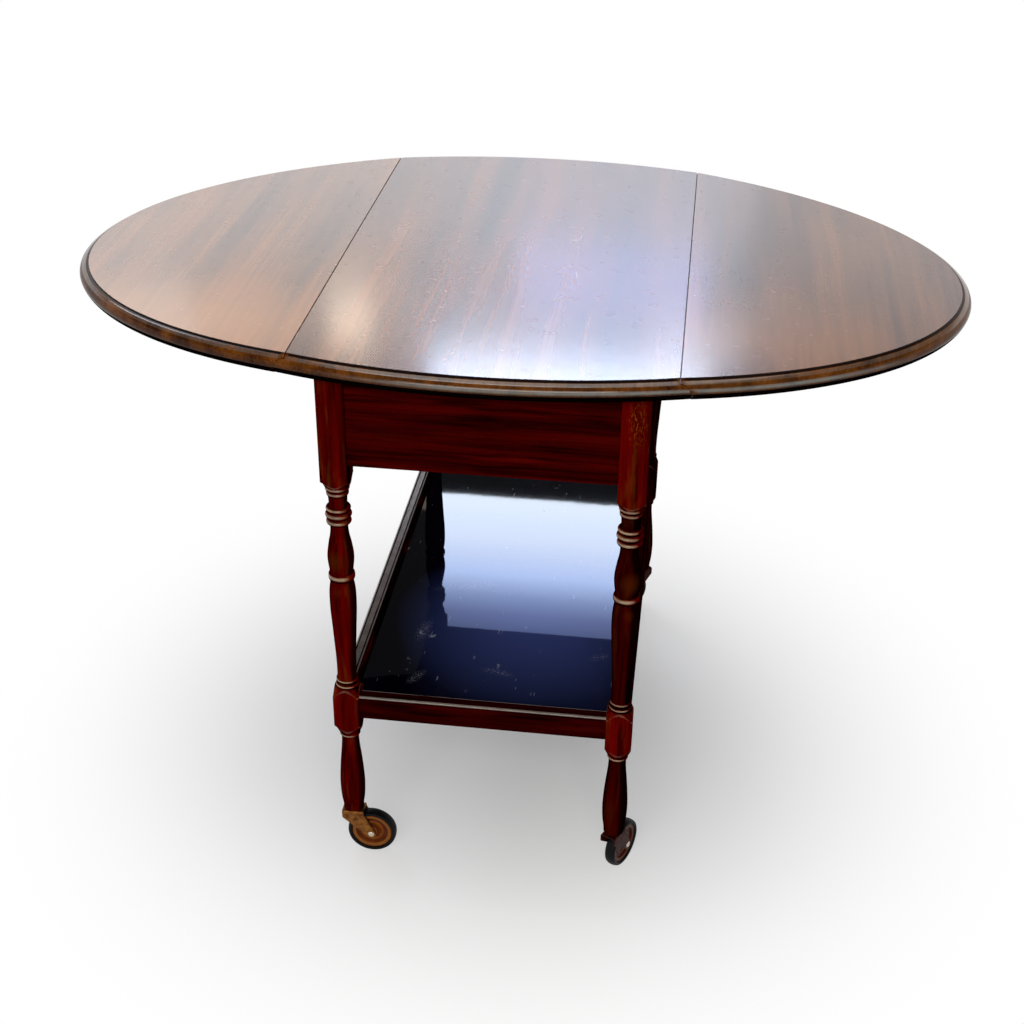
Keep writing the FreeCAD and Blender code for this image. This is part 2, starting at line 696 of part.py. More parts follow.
def caster_socket():
    """Sleeve driven up the foot, with a flange under it and room for the stem head."""
    top = leg_foot_height + socket_depth
    outer = [Part.makeCylinder(socket_radius, socket_depth, Vector(0, 0, leg_foot_height)),
             Part.makeCylinder(socket_flange_radius, socket_flange,
                               Vector(0, 0, leg_foot_height - socket_flange))]
    bore = Part.makeCylinder(stem_radius + pin_clearance, socket_depth + socket_flange - chamber_depth,
                             Vector(0, 0, leg_foot_height - socket_flange))
    chamber = Part.makeCylinder(stem_head_radius + chamber_gap, chamber_height,
                                Vector(0, 0, top - chamber_depth))
    return without(fused(outer), [bore, chamber])


def caster_stem():
    """Stem through the crown, swaged below it and headed inside the socket."""
    head = leg_foot_height + socket_depth - chamber_depth + stem_head_lift
    low = crown_top - fork_sheet
    return fused([Part.makeCylinder(stem_radius, head - low, Vector(0, 0, low)),
                  Part.makeCylinder(stem_head_radius, stem_head_height, Vector(0, 0, head)),
                  Part.makeCone(stem_radius + stem_swage, stem_radius, stem_swage,
                                Vector(0, 0, low - stem_swage))])


cheek_gap = hub_width / 2.0 + fork_gap


def caster_fork():
    """Crown plate bent down into two cheeks that taper back to the axle."""
    half_crown = fork_crown_length / 2.0
    low = crown_top - fork_sheet
    outer = cheek_gap + fork_sheet
    crown = box(-half_crown, half_crown, -outer, outer, low, crown_top)
    axle = Vector(wheel_trail, 0, wheel_radius)
    # Edges of the cheek run from the crown to touch the round eye
    top_front = Vector(half_crown, 0, crown_top)
    top_back = Vector(-half_crown, 0, crown_top)
    front_low = Vector(half_crown, 0, low - fork_front_drop)
    back_low = Vector(-half_crown, 0, low - fork_back_drop)

    def touch(point, turn):
        away = point.sub(axle)
        reach = math.hypot(away.x, away.z)
        angle = math.atan2(away.z, away.x) + turn * math.acos(fork_eye_radius / reach)
        return Vector(axle.x + fork_eye_radius * math.cos(angle), 0,
                      axle.z + fork_eye_radius * math.sin(angle))

    outline = [top_back, top_front, front_low, touch(front_low, -1.0), axle, touch(back_low, 1.0), back_low,
               top_back]
    cheek = Part.Face(Part.makePolygon(outline)).extrude(Vector(0, fork_sheet, 0))
    eye = Part.makeCylinder(fork_eye_radius, fork_sheet, axle, y_axis)
    cheek = cheek.fuse(eye)
    pieces = [crown]
    for shift in (cheek_gap, -cheek_gap - fork_sheet):
        one = cheek.copy()
        one.translate(Vector(0, shift, 0))
        pieces.append(one)
    holes = [Part.makeCylinder(axle_radius, 2.0 * outer, Vector(axle.x, -outer, axle.z), y_axis),
             Part.makeCylinder(stem_radius, fork_sheet, Vector(0, 0, low))]
    return without(fused(pieces), holes)


def caster_axle():
    outer = cheek_gap + fork_sheet
    centre = Vector(wheel_trail, -outer, wheel_radius)
    heads = [Part.makeCylinder(axle_radius + rivet_lip, rivet_height,
                               Vector(wheel_trail, y, wheel_radius), y_axis)
             for y in (-outer - rivet_height, outer)]
    return fused([Part.makeCylinder(axle_radius, 2.0 * outer, centre, y_axis)] + heads)


def lying(shape):
    """Lay a shape turned about Z on its side, at the axle."""
    shape.rotate(Vector(0, 0, 0), x_axis, 90)
    shape.translate(Vector(wheel_trail, 0, wheel_radius))
    return shape


rim_radius = wheel_radius - tyre_depth


def caster_wheel():
    """Dished disc with a hub, a web and a rim that grips the tyre."""
    half = disc_width / 2.0
    rim = turned([[(-half, rim_radius), (half, rim_radius)]])
    hollows = []
    for side in (-1.0, 1.0):
        low, high = sorted((side * web_half, side * (half + 1.0)))
        outer = Part.makeCylinder(rim_radius - wheel_rim, high - low, Vector(0, 0, low))
        inner = Part.makeCylinder(hub_boss_radius, high - low, Vector(0, 0, low))
        hollows.append(outer.cut(inner))
    hub = Part.makeCylinder(hub_radius, hub_width, Vector(0, 0, -hub_width / 2.0))
    bore = Part.makeCylinder(axle_radius + pin_clearance, hub_width, Vector(0, 0, -hub_width / 2.0))
    return lying(without(fused([without(rim, hollows), hub]), [bore]))


def caster_tyre():
    half = tyre_width / 2.0
    seat = disc_width / 2.0
    lip = rim_radius + tyre_lip
    shoulder = rim_radius + tyre_shoulder
    worn = wheel_radius - tyre_round
    crown = wheel_radius - tyre_round * 0.1
    profile = [[(-seat, rim_radius), (-half, lip)],
               [(-half, lip), (-half, shoulder)],
               [(-half, shoulder), (-half * 0.8, worn), (-half * 0.45, crown), (0.0, wheel_radius),
                (half * 0.45, crown), (half * 0.8, worn), (half, shoulder)],
               [(half, shoulder), (half, lip)],
               [(half, lip), (seat, rim_radius)]]
    hole = Part.makeCylinder(rim_radius, tyre_width, Vector(0, 0, -half))
    return lying(turned(profile).cut(hole))


def placed(shape, side_x, side_y, heading):
    shape = shape.copy()
    shape.rotate(Vector(0, 0, 0), z_axis, heading)
    shape.translate(Vector(side_x * leg_x, side_y * leg_y, 0))
    return shape


# Legs with their mortises and sockets

plain_leg = leg()
rails = [back_apron, right_apron, front_apron, left_apron, tray_back_rail, tray_right_rail, tray_front_rail,
         tray_left_rail]
socket_room = Part.makeCylinder(socket_radius, socket_depth, Vector(0, 0, leg_foot_height))
for name, side_x, side_y, heading in casters:
    post = placed(plain_leg.cut(socket_room), side_x, side_y, 0.0)
    save("leg_" + name, [without(post, rails)])


# The parts that make the fixed frame

save("centre_panel", [centre_panel])
save("front_apron", [front_apron])
save("back_apron", [back_apron])
save("left_apron", [left_apron])
save("right_apron", [right_apron])
save("top_bearers", bearers)
save("corner_blocks", blocks)
save("top_screws", top_screws)
save("tray_panel", [tray_panel])
save("tray_front_rail", [tray_front_rail])
save("tray_back_rail", [tray_back_rail])
save("tray_left_rail", [tray_left_rail])
save("tray_right_rail", [tray_right_rail])
save("tray_cleats", cleats)
save("tray_beads", beads)
save("tray_screws", cleat_screws)
save("hinge_plates", [without(h, fixed_screws) for h in fixed_hinges]
     + [mirrored(without(h, fixed_screws)) for h in fixed_hinges])
save("hinge_plate_screws", fixed_screws + [mirrored(s) for s in fixed_screws])
save("hinge_pins", hinge_pins + [mirrored(p) for p in hinge_pins])
save("stay_brackets", [mirrored(stay_bracket()), stay_bracket()])
save("stay_bracket_screws", [mirrored(s) for s in bracket_screws()] + bracket_screws())
save("stay_pins", [mirrored(stay_pin()), stay_pin()])
save("caster_sockets", [placed(caster_socket(), side_x, side_y, 0.0) for _, side_x, side_y, _ in casters])

# The leaves and what moves with them

leaf_parts = {
    "leaf": [sagged(right_leaf)],
    "hinge_flaps": [sagged(without(h, leaf_screws)) for h in leaf_hinges],
    "flap_screws": [sagged(s) for s in leaf_screws],
    "stay_rest": [sagged(stay_rest())],
    "stay": [stay()],
}
for name, solids in leaf_parts.items():
    save("right_" + name, solids)
    save("left_" + name, [mirrored(s) for s in solids])

# The casters

for name, side_x, side_y, heading in casters:
    for piece, shape in (("stem", caster_stem()), ("fork", caster_fork()), ("axle", caster_axle()),
                         ("wheel", caster_wheel()), ("tyre", caster_tyre())):
        save("caster_" + name + "_" + piece, [placed(shape, side_x, side_y, heading)])
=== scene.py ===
import math

import bmesh
import bpy
import numpy as np
from mathutils import Matrix, Vector


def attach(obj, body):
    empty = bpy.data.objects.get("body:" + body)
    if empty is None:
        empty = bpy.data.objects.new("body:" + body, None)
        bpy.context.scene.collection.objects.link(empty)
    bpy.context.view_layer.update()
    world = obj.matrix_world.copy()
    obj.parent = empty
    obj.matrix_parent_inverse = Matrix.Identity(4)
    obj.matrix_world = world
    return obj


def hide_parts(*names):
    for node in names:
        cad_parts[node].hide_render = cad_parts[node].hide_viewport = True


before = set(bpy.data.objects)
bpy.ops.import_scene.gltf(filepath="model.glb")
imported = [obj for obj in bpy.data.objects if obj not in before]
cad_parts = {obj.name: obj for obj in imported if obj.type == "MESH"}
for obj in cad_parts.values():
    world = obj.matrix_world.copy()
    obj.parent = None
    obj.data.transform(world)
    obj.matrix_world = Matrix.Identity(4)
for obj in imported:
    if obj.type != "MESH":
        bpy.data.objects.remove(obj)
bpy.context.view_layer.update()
print("frame loaded")

mm = 0.001


# Small tools used by every piece

def linear(hexColour):
    # sRGB hex to the linear colour that the sockets take
    parts = [int(hexColour[i:i + 2], 16) / 255 for i in (1, 3, 5)]
    return [c / 12.92 if c <= 0.04045 else ((c + 0.055) / 1.055) ** 2.4 for c in parts] + [1.0]


def addNode(tree, kind, inputs=None, **settings):
    # one node with its settings; an input takes a socket, a node's first output, a hex colour or a number
    node = tree.nodes.new("ShaderNode" + kind)
    for key, value in settings.items():
        if key == "stops":
            ramp = node.color_ramp.elements
            ramp[0].position, ramp[1].position = value[0][0], value[-1][0]
            for place, _ in value[1:-1]:
                ramp.new(place)
            for element, (_, colour) in zip(ramp, value):
                element.color = linear(colour) if isinstance(colour, str) else [colour] * 3 + [1.0]
        else:
            setattr(node, key, value)
    for key, value in (inputs or {}).items():
        if isinstance(value, bpy.types.Node):
            value = value.outputs[0]
        if isinstance(value, bpy.types.NodeSocket):
            tree.links.new(value, node.inputs[key])
        else:
            node.inputs[key].default_value = linear(value) if isinstance(value, str) else value
    return node


def newMaterial(name):
    material = bpy.data.materials.new(name)
    material.use_nodes = True
    material.node_tree.nodes.clear()
    return material, material.node_tree


def smoothUpTo(mesh, sharpDegrees):
    for polygon in mesh.polygons:
        polygon.use_smooth = True
    mesh.set_sharp_from_angle(angle=math.radians(sharpDegrees))


def applyModifiers(piece, sharpDegrees):
    bpy.context.view_layer.update()
    made = bpy.data.meshes.new_from_object(piece.evaluated_get(bpy.context.evaluated_depsgraph_get()))
    piece.modifiers.clear()
    piece.data = made
    smoothUpTo(made, sharpDegrees)


def meshPiece(name, verts, faces, material, sharpDegrees=35, rub=None):
    # a mesh in metres from points and faces, smooth up to the sharp angle; the value per point holds polish
    # wear, painted highlights and painted shade
    mesh = bpy.data.meshes.new(name)
    mesh.from_pydata([tuple(v) for v in verts], [], faces)
    mesh.validate()
    work = bmesh.new()
    work.from_mesh(mesh)
    bmesh.ops.recalc_face_normals(work, faces=work.faces)
    work.to_mesh(mesh)
    work.free()
    smoothUpTo(mesh, sharpDegrees)
    if rub is not None:
        mesh.attributes.new("rub", "FLOAT", "POINT").data.foreach_set("value", np.array(rub, np.float32))
    mesh.materials.append(material)
    piece = bpy.data.objects.new(name, mesh)
    bpy.context.scene.collection.objects.link(piece)
    return piece


def placeOn(piece, body, slotName, *nodes):
    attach(piece, body)
    if nodes:
        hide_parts(*nodes)


def curveThrough(points, steps):
    # smooth line through points, each (along, out), with steps parts between two
    pts = np.array(points, float)
    padded = np.vstack([2 * pts[0] - pts[1], pts, 2 * pts[-1] - pts[-2]])
    made = []
    for i in range(len(pts) - 1):
        p0, p1, p2, p3 = padded[i:i + 4]
        for k in range(steps):
            t = k / steps
            made.append(0.5 * (2 * p1 + (p2 - p0) * t + (2 * p0 - 5 * p1 + 4 * p2 - p3) * t * t
                + (3 * p1 - p0 - 3 * p2 + p3) * t ** 3))
    made.append(pts[-1])
    return [tuple(p) for p in made]


def arc(centre, radius, start, end, steps):
    return [(centre[0] + radius * math.cos(math.radians(start + (end - start) * i / steps)),
        centre[1] + radius * math.sin(math.radians(start + (end - start) * i / steps)))
        for i in range(steps + 1)]


def sweep(section, low, high, axis):
    # closed section of points across the other two axes, carried along one axis from low to high
    verts, faces, count = [], [], len(section)
    for along in (low, high):
        for a, b in section:
            verts.append((along, a, b) if axis == "X" else (a, along, b))
    for i in range(count):
        j = (i + 1) % count
        faces.append((i, j, count + j, count + i))
    faces += [tuple(range(count))[::-1], tuple(range(count, 2 * count))]
    return verts, faces


def skin(rings, count, capOrder):
    # faces of a closed skin over rings of count points each, with a cap at both ends
    faces = [(i * count + k, i * count + (k + 1) % count, (i + 1) * count + (k + 1) % count,
        (i + 1) * count + k) for i in range(rings - 1) for k in range(count)]
    return faces + [tuple(range(count))[::capOrder],
        tuple(range((rings - 1) * count, rings * count))[::-capOrder]]


def spun(stations, steps):
    # solid of revolution about Y from (along, radius) stations in metres, closed at both ends
    turns = [2 * math.pi * k / steps for k in range(steps)]
    verts = [(radius * math.cos(t), along, radius * math.sin(t)) for along, radius in stations for t in turns]
    return verts, skin(len(stations), steps, -1)


def spunRing(section, steps):
    # ring about Y from a closed section of (along, radius) points
    verts, faces, count = [], [], len(section)
    for k in range(steps):
        turn = 2 * math.pi * k / steps
        verts += [(radius * math.cos(turn), along, radius * math.sin(turn)) for along, radius in section]
    for k in range(steps):
        m = (k + 1) % steps
        for i in range(count):
            j = (i + 1) % count
            faces.append((k * count + i, k * count + j, m * count + j, m * count + i))
    return verts, faces


# Finishes

def streaks(tree, point, axis, width, length, detail, seed):
    # noise drawn out along the grain: streaks of a real width and length in metres
    scale = [1 / width] * 3
    scale[axis] = 1 / length
    mapped = addNode(tree, "Mapping", {"Vector": point, "Scale": scale,
        "Location": (seed, seed * 1.7, seed * 0.6)})
    return addNode(tree, "TexNoise", {"Vector": mapped, "Scale": 1.0, "Detail": detail, "Roughness": 0.55})


def scratchMarks(tree, point, spacing, thinness, turn, seed, share):
    # thin nearly straight lines where a drawn out noise crosses its middle value, broken into short lengths
    turned = addNode(tree, "Mapping", {"Vector": point, "Rotation": (0, 0, math.radians(turn)),
        "Location": (seed, seed, 0), "Scale": (1 / spacing, 0.08 / spacing, 1 / spacing)})
    wave = addNode(tree, "TexNoise", {"Vector": turned, "Scale": 1.0, "Detail": 0.0})
    line = addNode(tree, "ValToRGB", {0: wave}, stops=[(0.5 - thinness, 0.0), (0.5, share),
        (0.5 + thinness, 0.0)])
    pieces = addNode(tree, "TexNoise", {"Vector": point, "Scale": 2.2 / spacing, "Detail": 2.0})
    return addNode(tree, "MapRange", {0: pieces, 1: 0.64, 2: 0.7, 3: 0.0, 4: line})


def layered(tree, colour, layers):
    # each (colour, mask) goes over the ones before it where its mask, the inputs of a map range, says
    for over, mask in layers:
        share = addNode(tree, "MapRange", mask)
        colour = addNode(tree, "Mix", {0: share, 6: colour, 7: over}, data_type="RGBA").outputs[2]
    return colour


def patchyRoughness(tree, patches, look):
    return addNode(tree, "MapRange", {0: patches, 1: 0.3, 2: 0.7, 3: look["roughness"][0],
        4: look["roughness"][1]})


def polishedWood(name, look, axis):
    # polished timber: colour streaked along the grain, pores, faded places, worn places with painted
    # highlights, painted shade, under clear polish
    material, tree = newMaterial(name)
    point = addNode(tree, "TexCoord").outputs["Object"]
    wander = addNode(tree, "TexNoise", {"Vector": point, "Scale": look["wanderScale"], "Detail": 1.0})
    bent = addNode(tree, "VectorMath", {0: wander.outputs[1], 1: [look["wander"]] * 3, 2: point},
        operation="MULTIPLY_ADD").outputs[0]
    seed = look["seed"]
    broad = streaks(tree, bent, axis, *look["broad"], 3.0, seed)
    fine = streaks(tree, bent, axis, *look["fine"], 4.0, seed + 3)
    figure = addNode(tree, "Mix", {0: look["fineShare"], 2: broad, 3: fine}, data_type="FLOAT")
    colour = addNode(tree, "ValToRGB", {0: figure}, stops=look["stops"]).outputs[0]
    faded = streaks(tree, bent, axis, *look["fadedSize"], 3.0, seed + 5)
    dark = streaks(tree, bent, axis, *look["darkSize"], 2.0, seed + 11)
    pores = streaks(tree, bent, axis, *look["pores"], 1.0, seed + 7)
    patches = addNode(tree, "TexNoise", {"Vector": point, "Scale": look["patchScale"], "Detail": 4.0})
    rub = addNode(tree, "Attribute", attribute_name="rub").outputs["Fac"]
    wearAndHighlightPatches = addNode(tree, "MapRange", {0: patches, 1: 0.4, 2: 0.6, 3: look["wearAndHighlightLeast"],
        4: look["wearAndHighlightMost"]})
    poreMask = addNode(tree, "MapRange", {0: pores, 1: 0.36, 2: 0.28})
    layers = [
        (look["faded"], {0: faded, 1: look["fadedRange"][0], 2: look["fadedRange"][1], 4: look["fadedShare"]}),
        (look["dark"], {0: dark, 1: look["darkRange"][0], 2: look["darkRange"][1], 4: look["darkShare"]}),
        (look["dark"], {0: poreMask, 4: look["poreShare"]}),
        # painted highlight: the pale colour where the value per point is high, on beads, crests and the moulded
        # edge
        (look["worn"], {0: rub, 1: 0.2, 2: 0.9, 4: wearAndHighlightPatches}),
        # painted shade: the dark colour where the value per point is low, in creases, quirks, steps and on
        # sides away from the light
        (look["dirt"], {0: rub, 1: -0.1, 2: -0.9, 4: look["paintedShadeShare"]}),
    ]
    for x, y, z, radius, share in look.get("pale", []):
        # lighter round spots: lighter wood on the leaves, a painted highlight on the front legs and a painted
        # reflection on the tray
        away = addNode(tree, "VectorMath", {0: bent, 1: (x, y, z)}, operation="DISTANCE").outputs["Value"]
        layers.append((look["paleWood"], {0: away, 1: radius, 2: 0.0, 4: share}))
    for place, length, width, turn, specksAcross in look.get("scuffs", []):
        # polish rubbed through in specks, in an oval round a place
        oval = addNode(tree, "Mapping", {"Vector": point, "Location": place,
            "Rotation": (0, 0, math.radians(turn)), "Scale": (length, width, length)}, vector_type="TEXTURE")
        away = addNode(tree, "VectorMath", {0: oval}, operation="LENGTH").outputs["Value"]
        near = addNode(tree, "MapRange", {0: away, 1: 1.0, 2: 0.2, 3: 0.0, 4: look["scuffShare"]})
        specks = addNode(tree, "TexNoise", {"Vector": oval, "Scale": specksAcross, "Detail": 5.0,
            "Roughness": 0.75})
        layers.append((look["scratch"], {0: specks, 1: 0.53, 2: 0.6, 4: near}))
    for mark in look.get("scratches", []):
        layers.append((look["scratch"], {0: scratchMarks(tree, point, *mark, look["scratchShare"])}))
    colour = layered(tree, colour, layers)
    rough = patchyRoughness(tree, patches, look)
    swell = addNode(tree, "TexNoise", {"Vector": point, "Scale": 22.0, "Detail": 2.0})
    height = 0.0
    for source, depth in ((poreMask, look["poreDepth"]), (swell, look["swell"])):
        height = addNode(tree, "Math", {0: source, 1: depth, 2: height}, operation="MULTIPLY_ADD")
    bump = addNode(tree, "Bump", {"Strength": 1.0, "Distance": 1.0, "Height": height})
    coat = look["coat"]
    if isinstance(coat, tuple):
        # thick polish on the crests and none where shade is painted: value from and to, coat from and to
        coat = addNode(tree, "MapRange", {0: rub, **dict(zip((1, 2, 3, 4), coat))})
    shader = addNode(tree, "BsdfPrincipled", {"Base Color": colour, "Roughness": rough, "Normal": bump,
        "IOR": 1.5, "Specular IOR Level": look["specular"], "Coat Weight": coat,
        "Coat Roughness": look["coatRoughness"], "Coat IOR": 1.5, "Coat Normal": bump})
    addNode(tree, "OutputMaterial", {"Surface": shader})
    return material


# Mahogany of the top: mid red brown ribbon-striped boards, satin from years of wiping, with a clear polish
# that gives back the light; stripes 14 to 30 mm wide, fine figure 6 mm wide, pores filled by the polish
topLook = dict(
    seed=3.1, wanderScale=2.4, wander=0.04, broad=(0.03, 1.4), fine=(0.006, 0.7),
    pores=(0.0014, 0.02), fineShare=0.34,
    stops=[(0.34, "#321c21"), (0.45, "#4c2b29"), (0.56, "#6c4132"), (0.68, "#8e5737")],
    fadedSize=(0.12, 0.5), fadedRange=(0.42, 0.72), fadedShare=0.6, faded="#9c5c34",
    darkSize=(0.014, 0.7), darkRange=(0.48, 0.74), darkShare=0.55, dark="#26151d",
    poreShare=0.0, poreDepth=0.0, patchScale=60.0, wearAndHighlightLeast=0.3, wearAndHighlightMost=0.5, worn="#a07c5c",
    dirt="#0d0504", paintedShadeShare=0.97, roughness=(0.23, 0.28), specular=0.5,
    coat=0.9, coatRoughness=0.12, swell=0.000008,
    # two blooms of fine specks: place, half length, half width, turn, specks across
    scuffs=[((-0.08, -0.15, 0.719), 0.17, 0.08, 85, 40.0), ((0.05, 0.05, 0.719), 0.14, 0.07, 10, 40.0)],
    scuffShare=0.15,
    # a few light scratches: spacing, thinness, turn, offset
    scratches=[(0.07, 0.003, 24, 1.0), (0.06, 0.003, -62, 5.0)], scratch="#dccbc0", scratchShare=0.45,
)
# the leaves were sawn from other boards: the left one more orange, the right one between
leafLook = dict(topLook, scuffs=[], scratches=[], darkShare=0.35)
leftLook = dict(
    leafLook, seed=21.7, faded="#bd7436",
    stops=[(0.34, "#46291f"), (0.45, "#603c2b"), (0.56, "#805133"), (0.68, "#a06536")],
    pale=[(-0.31, -0.25, 0.719, 0.17, 0.55), (-0.44, -0.2, 0.719, 0.15, 0.3)], paleWood="#d88f50")
rightLook = dict(leafLook, seed=33.2, faded="#a86c3c",
    stops=[(0.34, "#442824"), (0.45, "#5e3a31"), (0.56, "#7a4c39"), (0.68, "#98613c")],
    pale=[(0.3, -0.2, 0.719, 0.17, 0.45)], paleWood="#c98a54")
# the moulded edge: painted shade in the step and below, a painted grey highlight on the round at the front and
# the back, brown between
edgeLook = dict(topLook, seed=14.9, coat=(0.0, 0.4, 0.1, 0.95), specular=0.06, roughness=(0.18, 0.26),
    worn="#949a92", wearAndHighlightLeast=0.5, wearAndHighlightMost=0.8, scuffs=[], scratches=[], faded="#7c4c20", dark="#1c0a04",
    stops=[(0.36, "#200d05"), (0.45, "#48220a"), (0.54, "#68390c"), (0.64, "#80491a")], fine=(0.003, 0.2),
    darkShare=0.5)
# the rule joint: nearly black, a painted shade for the narrow gap between the boards
jointShadeLook = dict(edgeLook, stops=[(0.34, "#0a0402"), (0.5, "#180b05"), (0.68, "#2a160a")], faded="#2c180c")

# under the top: stained dark, never polished; the same near-black is the painted shade on the lower round of
# the moulded edge
underLook = dict(topLook, seed=9.2, coat=0.0, specular=0.0, roughness=(0.6, 0.8), scuffs=[], scratches=[],
    stops=[(0.33, "#0c0503"), (0.5, "#160a06"), (0.68, "#241209")], faded="#2a170e", fadedShare=0.3)

# Mahogany of the frame: stained crimson brown with black streaks, darker than the top; the polish stays thick
# and bright only on the turned beads, where the cream colour is a painted highlight; pores 0.2 mm wide drawn at
# 0.9 mm so that they show
frameLook = dict(
    seed=8.4, wanderScale=5.0, wander=0.012, broad=(0.018, 0.4), fine=(0.003, 0.14),
    pores=(0.0009, 0.014), fineShare=0.3,
    stops=[(0.32, "#2c0101"), (0.44, "#660402"), (0.56, "#840703"), (0.7, "#9c1c06")],
    fadedSize=(0.012, 0.09), fadedRange=(0.54, 0.68), fadedShare=0.55, faded="#8a3a0c",
    darkSize=(0.01, 0.16), darkRange=(0.56, 0.7), darkShare=0.7, dark="#0a0101",
    poreShare=0.4, poreDepth=-0.00001, patchScale=60.0, wearAndHighlightLeast=0.45, wearAndHighlightMost=0.95, worn="#d0b48a",
    dirt="#050101", paintedShadeShare=0.95, roughness=(0.22, 0.3), specular=0.0,
    coat=(0.2, 0.8, 0.0, 1.0), coatRoughness=0.14, swell=0.00006,
)
backLegLook = dict(frameLook, stops=[(0.32, "#0c0101"), (0.44, "#240202"), (0.56, "#3c0403"), (0.7, "#520c05")])
apronLook = dict(frameLook, seed=12.3, broad=(0.014, 0.5), darkRange=(0.52, 0.66), faded="#560a04",
    stops=[(0.32, "#120101"), (0.44, "#380202"), (0.56, "#560403"), (0.7, "#700c06")])
# the grey colour on the tray rail beads is a painted highlight
trayRailLook = dict(frameLook, seed=17.9, dark="#060102", wearAndHighlightLeast=0.6, wearAndHighlightMost=0.8, worn="#a39a90",
    faded="#5c0c05", stops=[(0.32, "#120102"), (0.44, "#2c0202"), (0.56, "#440303"), (0.7, "#5a0a05")])

# Tray board: ebonised nearly black, the glossiest surface, with scuffs and long scratches
trayLook = dict(
    topLook, seed=5.7, broad=(0.05, 1.1), fine=(0.005, 0.3),
    stops=[(0.33, "#020206"), (0.5, "#030310"), (0.7, "#06061e")], fadedShare=0.0, darkShare=0.0,
    roughness=(0.2, 0.3), specular=0.0, coat=1.0, coatRoughness=0.022,
    scratches=[(0.05, 0.006, 12, 2.0), (0.04, 0.006, -50, 6.0), (0.05, 0.006, 74, 4.0)],
    scratch="#a8abc0", scratchShare=0.75, scuffShare=0.95, swell=0.000012,
    # pale scuffs worn through the polish
    scuffs=[((0.008, -0.238, 0.246), 0.026, 0.007, -12, 5.0), ((0.134, -0.188, 0.246), 0.016, 0.008, 30, 5.0),
            ((-0.092, -0.262, 0.246), 0.02, 0.008, 60, 7.0), ((-0.1, -0.16, 0.246), 0.03, 0.01, 80, 9.0),
            ((-0.06, -0.05, 0.246), 0.05, 0.012, 15, 14.0)],
    # painted reflection: blue grey patches standing in for the window seen in the polish
    pale=[(0.12, -0.14, 0.246, 0.24, 0.3), (0.06, -0.1, 0.246, 0.19, 0.7)], paleWood="#5464b0",
)

# Bearers, blocks and cleats: the same timber left bare, planed, dry and dusty; pores drawn at 1.4 mm to show
bareLook = dict(
    topLook, seed=6.6, stops=[(0.33, "#4f2d1d"), (0.5, "#6e452e"), (0.68, "#83573c")], coat=0.0,
    roughness=(0.6, 0.75), scratches=[], scuffs=[], swell=0.00004, poreDepth=-0.00002,
)

centreWood = polishedWood("polishedMahoganyMiddle", topLook, 1)
leftWood = polishedWood("polishedMahoganyLeftLeaf", leftLook, 1)
rightWood = polishedWood("polishedMahoganyRightLeaf", rightLook, 1)
edgeWood = polishedWood("mouldedMahoganyEdge", edgeLook, 1)
jointShadeWood = polishedWood("ruleJointPaintedShade", jointShadeLook, 1)
underAndEdgeShadeWood = polishedWood("stainedUndersideAndEdgeShade", underLook, 1)
apronWoodX = polishedWood("polishedApronAcross", apronLook, 0)
apronWoodY = polishedWood("polishedApronAlong", dict(apronLook, seed=4.6), 1)
trayRailX = polishedWood("polishedTrayRailAcross", trayRailLook, 0)
trayRailY = polishedWood("polishedTrayRailAlong", dict(trayRailLook, seed=2.2), 1)
trayWood = polishedWood("ebonisedTrayBoard", trayLook, 1)
trayBeadWood = polishedWood("blackenedTrayBead", dict(trayRailLook,
    stops=[(0.32, "#040101"), (0.7, "#180303")]), 1)
bareWood = polishedWood("planedInnerMahogany", bareLook, 0)


def metalFinish(name, look):
    # metal or enamel with tarnish in patches, fine rubbing and rougher edges
    material, tree = newMaterial(name)
    point = addNode(tree, "TexCoord").outputs["Object"]
    patches = addNode(tree, "TexNoise", {"Vector": point, "Scale": look["patchScale"], "Detail": 5.0,
        "Roughness": 0.6})
    specks = addNode(tree, "TexNoise", {"Vector": point, "Scale": look["speckScale"], "Detail": 3.0})
    rub = addNode(tree, "Attribute", attribute_name="rub").outputs["Fac"]
    colour = layered(tree, look["colour"], (
        (look["tarnish"], {0: patches, 1: look["patchRange"][0], 2: look["patchRange"][1]}),
        (look["speck"], {0: specks, 1: 0.62, 2: 0.74, 4: look["speckShare"]}),
        (look["speck"], {0: rub, 1: -0.1, 2: -1.0, 4: 0.9}),
        (look.get("bright", look["colour"]), {0: rub, 1: 0.1, 2: 1.0, 4: 0.8})))
    rough = patchyRoughness(tree, patches, look)
    grain = addNode(tree, "Math", {0: specks, 1: look["grain"]}, operation="MULTIPLY")
    bump = addNode(tree, "Bump", {"Strength": 1.0, "Distance": 1.0, "Height": grain})
    shader = addNode(tree, "BsdfPrincipled", {
        "Base Color": colour, "Roughness": rough, "Normal": bump, "Metallic": look["metallic"],
        "Specular IOR Level": look.get("specular", 0.5)})
    addNode(tree, "OutputMaterial", {"Surface": shader})
    return material


# Brassed pressed steel of the casters: dull gold, brown where the plating has tarnished
brassLook = dict(
    colour="#8f5c22", tarnish="#5c2f12", speck="#2c140a", speckShare=0.7, patchScale=90.0,
    speckScale=420.0, patchRange=(0.42, 0.62), roughness=(0.36, 0.52), metallic=0.85, grain=0.00002)
brass = metalFinish("brassedPressedSteel", brassLook)
# the other three have lost their plating and are dark rusty brown, hardly metallic any more; on the back right
# one the dark colour is also painted shade
tarnishedAndShadedBrass = metalFinish("tarnishedAndShadedPressedSteel", dict(brassLook, colour="#4a180a", tarnish="#240a05",
    speck="#100503", metallic=0.1, specular=0.05))
